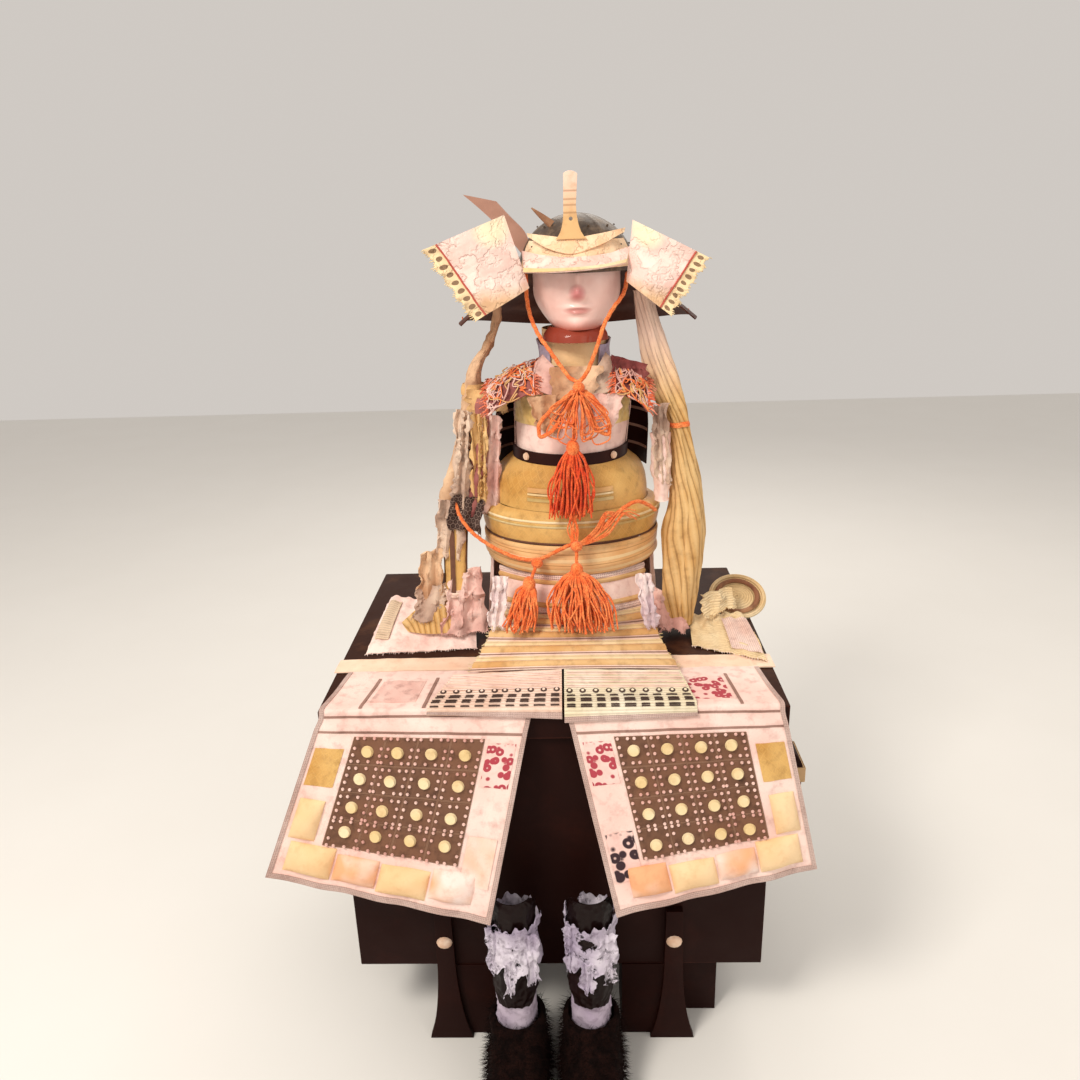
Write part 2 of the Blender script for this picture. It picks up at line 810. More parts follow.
def paper(name, light, mid, dark, line="c97f74"):
    """Crumpled leather paper, with ruffle markings beyond 0.75 of its width."""
    f = Finish(name)
    s, t = f.axes("cut")[:2]
    folds = f.noise(30, detail=4, rough=0.6)
    sharp = abs(f.noise(30, detail=3, rough=0.6) - 0.5) * 2
    colour = f.mix(folds.ease(0.36, 0.66), light, mid)
    colour = f.mix((1 - sharp.ease(0.0, 0.03)) * f.noise(17).ease(0.5, 0.58) * 0.75, colour, dark)
    return f, s, t, colour, folds + sharp.ease(0.0, 0.1) * 0.6


def paper_plain(name, light, mid, dark):
    f, _, _, colour, bump = paper(name, light, mid, dark)
    return f.done(colour, 0.75, bump=bump, height=2.0)


def ruffle_finish():
    """The turn-backs: pale crumpled paper, a seam and a cream ruffle with brown ovals."""
    f, s, t, colour, bump = paper("turned-back paper", "f3ddd2", "ebc2b8", "96685a")
    far = (s - 0.2) * (s - 0.2) + (t - 0.1) * (t - 0.1)
    colour = f.mix((1 - far.ease(0.01, 0.07)) * 0.8, colour, "f4e6c0")
    low = (t + s * 0.3 + f.noise(30) * 0.2).ease(0.98, 1.22)
    colour = f.mix(low * 0.75, colour, "d3a873")
    edge = s.ease(0.815, 0.825)
    colour = f.mix(edge, colour, "ecd2a8")
    x = (t * 9).fract() - 0.5
    y = (s - 0.91) * 16
    ovals = 1 - (x * x * 9 + y * y).ease(0.55, 0.7)
    colour = f.mix(ovals * 0.85, colour, "6b4a35")
    return f.done(colour, 0.7, bump=bump, height=2.0)


def mask_finish():
    f = Finish("painted mask leather")
    s, t = f.axes("cut")[:2]
    x, y = (s - 0.5) * 5, (t - 0.34) * 6
    nose = 1 - (x * x * 8 + y * y).ease(0.1, 1.0)
    lips = (1 - (x * x * 3 + ((t - 0.64) * 14) * ((t - 0.64) * 14)).ease(0.3, 1.2)) * 0.7
    grain = f.noise(110, detail=4)
    colour = f.mix(f.noise(20).ease(0.4, 0.65) * 0.5, "eecac0", "d9a99e")
    colour = f.mix(nose * 0.75, colour, "c9656a")
    colour = f.mix(lips, colour, "b0524c")
    colour = f.mix(t.ease(0.8, 0.98) * 0.85, colour, "b5503a")
    return f.done(colour, 0.5, bump=grain, height=0.4, coat=0.25)


def crest_finish():
    f = Finish("crest horn")
    z = f.axes()[2]
    grain = f.noise(60, detail=5)
    colour = f.mix(z.ease(1.49, 1.545), "dcb27c", "f0c9b4")
    for level in (1.497, 1.509, 1.518, 1.531):
        colour = f.mix(z.within(level, level + 0.0025, 0.0012) * 0.6, colour, "8a5f3c")
    colour = f.mix(grain.ease(0.5, 0.75) * 0.5, colour, "b98a5c")
    return f.done(colour, 0.45, bump=grain, height=0.4, coat=0.3)


def shag(name, light, mid, dark, rough=0.95, gloss=0.15):
    """Yarn or fur: fine strands with darker hollows."""
    f = Finish(name)
    strand = f.noise(420, detail=3)
    colour = f.mix(f.noise(60).ease(0.4, 0.62), mid, light)
    colour = f.mix(strand.ease(0.42, 0.62) * 0.7, colour, dark)
    return f.done(colour, rough, bump=strand, height=0.6, sheen=gloss, shine=0.1)


def backdrop():
    f = Finish("pale floor")
    return f.done(f.mix(f.noise(3).ease(0.3, 0.7) * 0.15, "e9e7e3", "dedbd5"), 0.8)


LACQUER = lacquered("dark lacquer", "220b07", "3a160d", 0.5, 0.0)
LACQUER_EDGE = lacquered("rubbed lacquer edges", "351710", "5f3526", 0.5, 0.0)
LACQUER_TOP = lacquered("lid lacquer", "33190f", "6b4329", 0.45, 0.0, 0.9)
BAND_HIDE = lacquered("tan binding", "c9a67c", "a37d55", 0.6, 0.1)
STAND_WOOD = lacquered("stand wood", "6b4a30", "8a6544", 0.6, 0.1)
PEARL = plated("pearly studs", "e0b89a", "f6e2cf", 0.3, 0.1)
IRON = plated("helmet iron", "4a3b30", "85715c", 0.55, 0.15)
SPIKE = plated("spike", "8c6248", "b48a66", 0.5, 0.0)
DARK_PLATE = lacquered("dark plate lacquer", "2a0f0b", "47211a", 0.4, 0.05)
SHIN = lacquered("crumpled shin leather", "150706", "301412", 0.35, 0.12)
GUARD_PLATE = lacquered("neck guard lacquer", "4a2418", "7d4c33", 0.5, 0.05, 1.0)
BROWN_PLATE = lacquered("brown plate", "a37b6b", "c9a08f", 0.55, 0.1)
HORN = plated("pale horn", "f0d4a2", "e0b884", 0.4, 0.0)
CREST = crest_finish()
TURNED = ruffle_finish()
VISOR = paper_plain("visor paper", "f3d8cc", "e8b9ac", "96685a")
BROW_PAPER = paper_plain("brow paper", "f3d6b4", "e6bb92", "9a6e4e")
CREAM_EDGE = textile("cream edging", "efdcb4", "e2c691", "b9935d", 0.4, 0.4)
MASK_SKIN = mask_finish()
THROAT = lacquered("throat guard leather", "8c3a2a", "b5603f", 0.4, 0.3)
RED_LINE = textile("red piping", "c96a5c", "b04c40", "7d2f28", 0.5, 0.3)
PEACH = textile("peach cloth", "f6d6aa", "f0c795", "cf9c66", 0.25, 0.5)
PINK = textile("pink woven cloth", "f8ddd3", "f0cbc0", "c5948a", 0.5, 0.9)
SCRAP_PINK = textile("pink scrap cloth", "f0cfc4", "d8a59a", "8d554c", 0.5, 1.0)
SCRAP_GREY = textile("grey and tan scrap cloth", "e0c6b0", "b79886", "6b504a", 0.5, 1.0)
SCRAP_LILAC = textile("pale lilac scrap cloth", "f3e2de", "d9c2c6", "80687a", 0.5, 1.0)
PINK_RIB = textile("ribbed pink cloth", "f6dccb", "ecc9b4", "b98a72", 0.35, 0.5, rib=0.006)
PADDED = textile("peach patchwork", "fae3da", "f0b184", "cf8a64", 0.3, 0.6)
PETALS = textile("red petal cloth", "f4d4cb", "f0c6bc", "c98f86", 0.3, 0.4, design=petals("b04450"))
LACE = textile("lace trim", "f6ddd2", "ecc8ba", "a8766a", 0.4, 0.3, design=twill("8f6258", 0.0075, 0.7))
BRAID = textile("apron braid", "d6bcb3", "c3a59b", "8d6a62", 0.4, 0.3, design=twill("8a6860", 0.006))
TUCK = textile("tuck line", "a68478", "8f6c60", "5f433a", 0.5, 0.3)
KIKKO = textile("studded panel", "6f4e3c", "7a543f", "3f271c", 0.6, 0.5, rough=0.7, design=lattice("8f6d58"))
TAN = textile("tan draped cloth", "dcb47a", "cf9f5f", "94683a", 0.5, 0.9, design=drape_lines)
TAN_BAND = textile("tan rolled band", "e2bb86", "d3a066", "8a5e36", 0.45, 0.5)
TAN_PALE = textile("pale tan ribbed cloth", "f0d9b0", "e6c592", "b08a5c", 0.4, 0.5, rib=0.005)
CREAM_PINK = textile("pale waist tie", "f8dcc4", "f2c8ac", "cf9a7a", 0.3, 0.5)
BAR = textile("dark lacing", "5a463e", "47352f", "281b17", 0.4, 0.3)
NET = textile("dark net", "3c2a26", "4a3630", "1f1412", 0.5, 0.4, design=kikko("8a7468", 0.009))
LILAC = textile("lilac cloth", "c9bccb", "b3a3b8", "6f5d70", 0.7, 1.0)
TORN = textile("torn lilac cloth", "ded6e2", "b3a6bc", "5c4a5e", 0.8, 1.0, torn=0.44)
SCRAP_TAN = textile("tan and brown scrap cloth", "e6c3a0", "c0906c", "7a4c3a", 0.5, 1.0)
SCRAP_RED = textile("dark red scrap cloth", "b0706a", "7c3a38", "3c1513", 0.7, 1.0)
PALE_GOLD = textile("pale gold satin", "ecd29a", "d9b570", "96702f", 0.5, 0.8, rough=0.34)
SCROLL = textile("dark scroll cloth", "f4d4cb", "f0c6bc", "c98f86", 0.3, 0.4, design=petals("3c2a30", 0.018))
STRIPED_EDGE = textile("striped edging", "dcc2a6", "c7a78a", "8d6a54", design=stripes("d9c0a4", "33231f", 0.007, False))
CREAM = textile("cream ribbed cloth", "f5ebd6", "ebdcbd", "a89878", 0.35, 0.5, rib=0.005)
LEATHER = textile("brown ring", "a77a5a", "8a5a40", "4c2c1f", 0.6, 0.5)
GOLD = textile("gold satin", "dcb06a", "c8934a", "8a5f2c", 0.45, 0.6, rough=0.36, design=brocade("e8bf70", 0.3))
GOLD_THREAD = textile("gold thread", "f2dca4", "e2be74", "a87e38", 0.3, 0.3, rough=0.35, design=twill("8a6428", 0.004))
SATIN = textile("striped satin", "e9bd86", "dca56a", "a87446", 0.35, 0.5, rough=0.36, design=stripes("f3d8a6", "b07c44", 0.02, False))
DARK_CLOTH = textile("dark brown cloth", "4f2a22", "3c1c16", "1c0c07", 0.7, 1.0)
DARK_BAND = textile("brown band", "6e4a3a", "5a382a", "30190f", 0.5, 0.5)
YARN = shag("orange yarn", "f79a5c", "f07840", "c04a22")
YARN_RED = shag("red orange yarn", "f5733c", "e5502a", "a52c18")
YARN_PINK = shag("pink and orange yarn", "f4a990", "ef7a4c", "a83a2a")
FUR = shag("dark fur", "22100c", "0f0504", "050201", gloss=0.0)
FLOOR = backdrop()


# Chest, legs, brackets and stand


def make_chest(settings):
    top_face = lambda at, kind: 2 if at.z > 0.7205 else kind
    stud = lambda at, kind: 2 if at.y < -0.1626 and abs(at.z - 0.233) < 0.017 else kind
    for name in ("chest_body", "leg_front_left", "leg_front_right", "leg_back_left", "leg_back_right"):
        softened(name, name + "_wood", 1.5, (LACQUER, LACQUER_EDGE, PEARL), "lacquer", stud)
    softened("chest_lid", "lid_wood", 3.0, (LACQUER, LACQUER_EDGE, LACQUER_TOP), "lacquer", top_face)
    hide = lambda at, kind: 2 if 0.5515 < at.z < 0.5835 and (at.y < -0.131 or at.y > -0.049 or abs(at.x - 0.026) > 0.43) else kind
    for side in ("left", "right"):
        softened("bracket_" + side, "bracket_wood_" + side, 2.0, (LACQUER, LACQUER_EDGE, BAND_HIDE), "lacquer", hide)


def make_stand(settings):
    softened("stand_post", "stand_wood", 1.2, (STAND_WOOD, STAND_WOOD), "wood")
    angles = np.radians(np.arange(0, 360, 15))
    rows = [ring_of(NECK_X, 200, 58 + a, 58 + a, 58 + a, z, angles) for z, a in ((1303, 0), (1270, 0.5), (1240, 3))]
    grid = fine_grid(rows, 4, closed=True)
    cloth("neck_sleeve", grid, 2.0, PEACH, "peach_cloth", "neck_cover", "gathered", ("stand_post",),
          closed=True, outward=from_middle)


# Helmet and mask


def make_helmet(settings):
    a = np.radians(np.linspace(0, 90, 30))
    rows = [
        ring_of(HEAD_X, HEAD_Y, 103 * math.cos(k), 112 * math.cos(k), 112 * math.cos(k),
                1403 + 95 * math.sin(k), np.radians(np.arange(0, 360, 3)))
        for k in a
    ]
    grid = metres(rows)
    turn = np.arange(120) / 120
    ribs = 1.1 * np.abs(np.cos(np.pi * 10 * turn)) ** 24 * np.cos(a)[:, None] ** 0.3
    band = 1.2 * (np.sin(a)[:, None] < 0.12) + 0 * ribs
    fit(shell("helmet_dome", grid, 2.6, IRON, True, from_middle, np.maximum(ribs, band) * MM, pole=True),
        "iron", "helmet_bowl")
    places, ways = [], []
    for k in range(10):
        t = TAU * (k + 0.5) / 10
        for up in (14, 26, 38, 50):
            c, s = math.cos(math.radians(up)), math.sin(math.radians(up))
            p = metres([HEAD_X + 103.4 * c * math.sin(t), 200 - 112.4 * c * math.cos(t), 1403 + 95.4 * s])
            places.append(p)
            ways.append((math.sin(t) * c, -math.cos(t) * c, s))
    bossed("dome_rivets", places, ways, IRON, "iron", 2.2, 1.2, 2.4, 8)

    wing = between(
        [[-140, 214, 1534], [-100, 200, 1500], [-62, 182, 1462], [-40, 176, 1436]],
        [[-81, 194, 1521], [-56, 186, 1494], [-30, 182, 1466], [-22, 180, 1440]], 6)
    wing = fine_grid(wing, 4)
    fit(shell("helmet_wing", wing, 2.5, BROWN_PLATE, raised=crumple(wing, 30, 0.8, 4)), "iron")
    root, tip = np.array([16, 150, 1480.0]), np.array([-18, 150, 1508.0])
    rows = []
    for t, r in ((0, 7), (0.35, 5.5), (0.7, 3.5), (1, 1.2)):
        c = root + (tip - root) * t
        angles = np.radians(np.arange(0, 360, 30))
        across = np.array([28.0, 0, 34.0]) / np.hypot(28, 34)
        rows.append([c + across * (r * math.sin(k)) + np.array([0, -2.1 * math.cos(k), 0]) for k in angles])
    fit(shell("helmet_spike", fine_grid(rows, 3, closed=True), 0.6, SPIKE, True, from_middle), "iron")
    a = np.radians(np.linspace(-66, 66, 45))
    rows = []
    for up in np.linspace(33, 4, 8):
        k = math.radians(up)
        r = math.cos(k)
        rows.append(ring_of(HEAD_X, HEAD_Y, 103 * r + 2.2, 112 * r + 2.2, 112 * r, 1403 + 95 * math.sin(k), a))
    grid = fine_grid(rows, 4)
    fit(shell("brow_band_paper", grid, 1.6, BROW_PAPER, outward=from_dome, raised=crumple(grid, 20, 0.5, 7)), "iron")

    brow = between(
        [[-27, 132, 1468], [8, 112, 1463], [46, 104, 1459], [88, 110, 1463], [140, 132, 1472]],
        [[-25, 130, 1462], [10, 99, 1443], [46, 89, 1434], [86, 97, 1443], [138, 130, 1465]], 6, 40)
    brow = fine_grid(brow, 3)
    s, t = cut_places(brow)
    rim = 1.4 * (np.exp(-((t - 0.08) / 0.07) ** 2) + np.exp(-((t - 0.92) / 0.07) ** 2))
    fit(shell("brow_horn", brow, 2.5, BROW_PAPER, raised=rim * MM + crumple(brow, 24, 0.4, 9)), "horn", "brow_plate")

    visor = between(
        [[-36, 128, 1440], [5, 100.7, 1432], [54, 89.2, 1429], [104, 100.7, 1432], [148, 128, 1442]],
        [[-32.6, 99.6, 1406], [5, 70, 1407], [54, 58, 1409], [100, 68, 1412], [139, 95.2, 1417]], 6, 44)
    visor = fine_grid(visor, 3)
    fit(shell("visor_paper", visor, 2.4, VISOR, outward=FRONT_UP, raised=crumple(visor, 26, 0.5, 5)),
        "paper_cloth", "visor")
    rim = patch(visor, 0, 1, 0.8, 1, 1.0)
    fit(shell("visor_rim", rim, 1.0, CREAM_EDGE, outward=FRONT_UP), "paper_cloth")
    softened("crest", "crest_horn", 0.8, (CREST, CREST), "horn")

    for side, corners, wave in (
        ("left", ([-62, 104, 1498], [-180, 84, 1454], [-102, 82, 1338], [-24, 103.4, 1380]), 0),
        ("right", ([151, 115, 1484], [258, 84, 1430], [198, 82, 1342], [140, 111.4, 1386]), 2),
    ):
        turn_back(side, corners, wave)
    neck_guard()


def from_dome(grid):
    return grid - metres([HEAD_X, HEAD_Y, 1403])


def fray(name, edge, inside, finish, slot, seed, reach=5):
    """Loose thread ends along a cut edge."""
    draw = np.random.default_rng(seed)
    threads = []
    for p, q in zip(edge, inside):
        out = (p - q) / np.linalg.norm(p - q)
        threads.append([p, p + (out * draw.uniform(0.3, 1) * reach + draw.normal(size=3) * 0.25 * reach) * MM])
    strands(name, threads, 1.1, finish, slot, sides=3, taper=0.6)


# Loose scraps: name, corners from the top left clockwise, finish, slot and depth of the crumples
SCRAPS = (
    ("neck_scarf", [[4, 118, 1244], [94, 118, 1244], [84, 94, 1186], [14, 94, 1186]], SCRAP_TAN, "tan_cloth", 3),
    ("breast_scrap_left", [[-34, 92, 1196], [22, 90, 1200], [20, 90, 1128], [-20, 92, 1140]], SCRAP_TAN, "tan_cloth", 4),
    ("breast_scrap_right", [[74, 90, 1200], [134, 95, 1198], [122, 94, 1146], [84, 90, 1134]], SCRAP_PINK, "tan_cloth", 4),
    ("shoulder_scrap_right", [[112, 128, 1262], [178, 150, 1240], [184, 140, 1180], [122, 112, 1196]], SCRAP_RED, "lilac_cloth", 5),
    ("arm_roll_left", [[-150, 152, 1202], [-72, 148, 1198], [-70, 144, 1160], [-142, 148, 1158]], TAN_BAND, "tan_cloth", 4),
    ("arm_cloth_left", [[-164, 138, 1168], [-138, 134, 1164], [-152, 130, 978], [-190, 134, 992]], SCRAP_GREY, "tan_cloth", 7),
    ("arm_roll_long_left", [[-134, 134, 1160], [-112, 132, 1158], [-116, 128, 1000], [-140, 130, 1000]], TAN, "tan_cloth", 6),
    ("arm_lining_left", [[-118, 142, 1160], [-84, 146, 1150], [-94, 146, 980], [-138, 138, 966]], SCRAP_PINK, "pink_cloth", 6),
    ("arm_net_left", [[-186, 128, 1010], [-124, 128, 1002], [-134, 126, 934], [-192, 128, 944]], NET, "tan_cloth", 5),
    ("arm_tatter_left", [[-206, 132, 1000], [-160, 134, 990], [-170, 130, 880], [-222, 132, 896]], SCRAP_GREY, "lilac_cloth", 6),
    ("forearm_tatter_left", [[-250, 130, 894], [-208, 134, 904], [-206, 126, 800], [-262, 124, 806]], SCRAP_TAN, "tan_cloth", 6),
    ("hand_heap_left", [[-262, 128, 822], [-160, 132, 842], [-156, 112, 770], [-270, 96, 768]], SCRAP_GREY, "tan_cloth", 8),
    ("wrist_cloth_left", [[-190, 124, 846], [-138, 128, 868], [-120, 92, 742], [-214, 84, 744]], SCRAP_PINK, "lilac_cloth", 8),
    ("hand_flap_right", [[170, 128, 822], [250, 136, 800], [258, 92, 742], [184, 86, 746]], SCRAP_PINK, "lilac_cloth", 9),
    ("plate_cloth_right", [[286, 150, 790], [352, 186, 790], [366, 176, 758], [296, 118, 752]], TAN_PALE, "tan_cloth", 5),
    ("skirt_tatter_left", [[-108, 60, 872], [-82, 56, 872], [-88, 26, 782], [-118, 28, 786]], SCRAP_LILAC, "pink_cloth", 5),
    ("skirt_tatter_right", [[158, 60, 872], [186, 68, 868], [196, 34, 782], [168, 26, 778]], SCRAP_LILAC, "pink_cloth", 5),
    ("right_arm_patch", [[186, 142, 1160], [214, 148, 1170], [226, 140, 1020], [200, 138, 1030]], SCRAP_GREY, "lilac_cloth", 5),
)


def scrap(name, corners, finish, slot, depth):
    """A loose, crumpled piece of cloth with ragged sides."""
    a, b, c, d = (np.array(p, float) for p in corners)
    draw = np.random.default_rng(sum(map(ord, name)))
    u = np.linspace(0, 1, 9)[:, None]
    rows = np.array([lerp(lerp(a, b, u), lerp(d, c, u), v) for v in np.linspace(0, 1, 8)])
    rows[-1, :, 2] += draw.normal(size=9) * 3
    rows[:, [0, -1], 0] += draw.normal(size=(8, 2)) * 3
    rows[:, :, 1] -= depth * np.sin(u[:, 0] * 13 + draw.random() * 3 + np.linspace(0, 2, 8)[:, None]) * 0.9
    grid = fine_grid(rows, 3.5)
    raised = crumple(grid, 14, depth * 0.6, len(name), True) + crumple(grid, 30, depth * 0.8, len(name) + 9)
    piece = cloth(name, grid, 1.2, finish, slot, None, "gathered", outward=FRONT_UP, raised=raised)
    fray(name + "_fray", grid[-1], grid[-5], finish, slot, len(name), 4)
    return piece


def turn_back(side, corners, wave):
    inner_top, outer_top, outer_low, inner_low = (np.array(c, float) for c in corners)
    rows = []
    for v in np.linspace(0, 1, 22):
        inner, outer = lerp(inner_top, inner_low, v), lerp(outer_top, outer_low, v)
        out = (outer - inner) / np.linalg.norm(outer - inner)
        row = []
        for u in np.linspace(0, 1, 13):
            bow = -14 * math.sin(math.pi * u) + 2.2 * math.sin(9 * v + 5 * u + wave)
            row.append(lerp(inner, outer, u) + [0, bow, 0])
        for w in (0.3, 0.65, 1):
            ripple = 5 * math.sin(v * 5 * math.pi + wave) + 2.6 * math.sin(v * 23 * math.pi)
            row.append(outer + out * (18 + 2.5 * math.sin(31 * v + wave)) * w + [0, w * ripple, 0])
        rows.append(row)
    grid = fine_grid(rows, 3.5)
    s, t = cut_places(grid)
    fade = np.clip(6 * np.minimum.reduce([s + 0.03, t + 0.03, 1.03 - t, np.full_like(t, 1)]), 0, 1)
    raised = (crumple(grid, 34, 1.9, 11 + wave) + crumple(grid, 15, 1.0, 21 + wave, True)) * fade
    piece = cloth("turned_back_" + side, grid, 1.6, TURNED, "paper_cloth", "turn_back_" + side,
                  "stretched", ("visor",), raised=raised)
    line = grid + normals_of(grid, False, FRONT)[0] * (raised + 0.9 * MM)[..., None]
    seam = int(np.argmin(np.abs(s[0] - 0.82)))
    strands("turned_back_piping_" + side, [line[:, seam]], 1.6, RED_LINE, "paper_cloth", sides=8, taper=1)
    fray("turned_back_fringe_" + side, line[:, -1], line[:, -6], CREAM_EDGE, "paper_cloth", 17 + wave)


def neck_guard():
    top, bottom, inner, outer = 1402.5, 1314, 104, 221
    rows = []
    for i in range(4):
        for t, drop, step in ((i / 4, 0, 0), ((i + 1) / 4, 3, -6)):
            r, z = lerp(inner, outer, t) + step, lerp(top, bottom, t) + drop
            a = np.radians(np.linspace(-106, 106, 60))
            sag = 30 * t * np.maximum(0, np.cos(a)) ** 2
            rows.append(np.stack([HEAD_X + r * np.sin(a), HEAD_Y + (r * 0.93 + 8) * np.cos(a), z - sag], axis=1))
    grid = fine_grid(rows, 8, straight=True)
    fit(shell("neck_guard_lames", grid, 2.2, GUARD_PLATE, outward=UP), "dark_plate", "neck_guard")
    s, t = cut_places(grid)
    lines = []
    normals = normals_of(grid, False, UP)[0]
    for i in range(4):
        row = int(np.argmin(np.abs(t[:, 0] - (i + 0.82) / 4)))
        edge = grid[row] + normals[row] * 1.2 * MM
        for k in range(4, grid.shape[1] - 4, 6):
            lines.append([edge[k] + [0, 0, 2.5 * MM], edge[k] - [0, 0, 2.5 * MM]])
    strands("neck_guard_lacing", lines, 1.3, YARN, "yarn", sides=5, taper=1)


def bump(x, z, wide, high):
    return np.exp(-((x / wide) ** 2) - (z / high) ** 2)


def make_mask(settings):
    top, bottom, half, deep = 1404, 1306, 78, 94
    height = top - bottom
    v, u = np.meshgrid(np.linspace(0, 1, 60), np.linspace(0, 1, 84), indexing="ij")
    z, angle = lerp(top, bottom, v), np.radians(lerp(-88, 88, u))
    up = (z - bottom) / height
    narrow = lerp(0.56, 1, np.sin(np.pi / 2 * np.minimum(1, up * 1.5)))
    x = half * narrow * np.sin(angle)
    nose = 20 * bump(x, (up - 0.66) * height, 10, 13) + 11 * bump(x, (up - 0.92) * height, 8, 17)
    nostrils = 6 * bump(np.abs(x) - 12, (up - 0.6) * height, 6, 7)
    lips = 6 * bump(x, (up - 0.4) * height, 20, 4.5) + 6.5 * bump(x, (up - 0.3) * height, 16, 4.5)
    chin = 8 * bump(x, (up - 0.08) * height, 19, 12)
    cheek = 4 * bump(np.abs(x) - 42, (up - 0.72) * height, 18, 20)
    depth = deep * lerp(0.86, 1, up) * np.cos(angle) ** 0.8
    y = HEAD_Y - depth - nose - nostrils - lips - chin - cheek
    grid = metres(np.stack([HEAD_X + x, y, z], axis=2))
    fit(shell("mask_leather", grid, 2.6, MASK_SKIN), "mask", "face_mask")
    rows = []
    for z, out in ((1309, -7.9), (1298, 3), (1285, 7)):
        a = np.radians(np.linspace(-62, 62, 24))
        rows.append(np.stack([HEAD_X - 4 + (60 + out) * np.sin(a), HEAD_Y - (84 + out) * np.cos(a),
                              np.full_like(a, z)], axis=1))
    fit(shell("throat_guard", fine_grid(rows, 3), 2.2, THROAT), "mask")


# Cuirass

CHEST_CLOTH = [(1226, 88, 84, 90), (1200, 103, 96, 100), (1165, 107, 102, 104), (1125, 105, 105, 106),
               (1095, 104, 107, 108), (1071, 104, 107, 108)]
ABDOMEN = [(1070.6, 109, 112, 112), (1060, 124, 115, 114), (1044, 138, 119, 116), (1020, 146, 121, 118),
           (987, 148, 122, 119)]
LOWER_PANEL = [(986.7, 149.2, 122.9, 119.9), (978, 168, 131, 126), (952, 170, 134, 128), (926, 165, 131, 126)]
WAIST_BAND = [(925.7, 167, 134, 128), (908, 170, 139, 131), (890, 168, 138, 130), (874, 164, 135, 128)]
BACK_PLATE = [(1214, 130, 0, 106), (1165, 143, 0, 127), (1120, 150, 0, 131), (1075, 152, 0, 132),
              (1036, 152, 0, 132)]


def belt_round(name, grid, t0, t1, lift, thick, finish, slot):
    """A band sewn round a tube, between two fractions of its height."""
    over, down = lengths(grid, True)
    down = down / down[-1]
    rows = []
    normals = normals_of(grid, True, from_middle)[0]
    for t in np.linspace(t0, t1, 6):
        k = min(int(np.searchsorted(down, t, "right")) - 1, len(down) - 2)
        f = (t - down[k]) / (down[k + 1] - down[k])
        swell = lift * (0.6 + 0.4 * math.sin(math.pi * (t - t0) / (t1 - t0)))
        rows.append(lerp(grid[k] + normals[k] * swell * MM, grid[k + 1] + normals[k + 1] * swell * MM, f))
    return cloth(name, np.array(rows), thick, finish, slot, None, "stretched", closed=True, outward=from_middle)


def front_patch(grid, degrees, t0, t1, lift):
    """A strip across the front of a tube, between angles either side of its middle."""
    columns = grid.shape[1]
    k = int(columns * degrees / 360)
    turned = np.roll(grid, k, axis=1)[:, : 2 * k + 1]
    return patch(turned, 0, 1, t0, t1, lift)


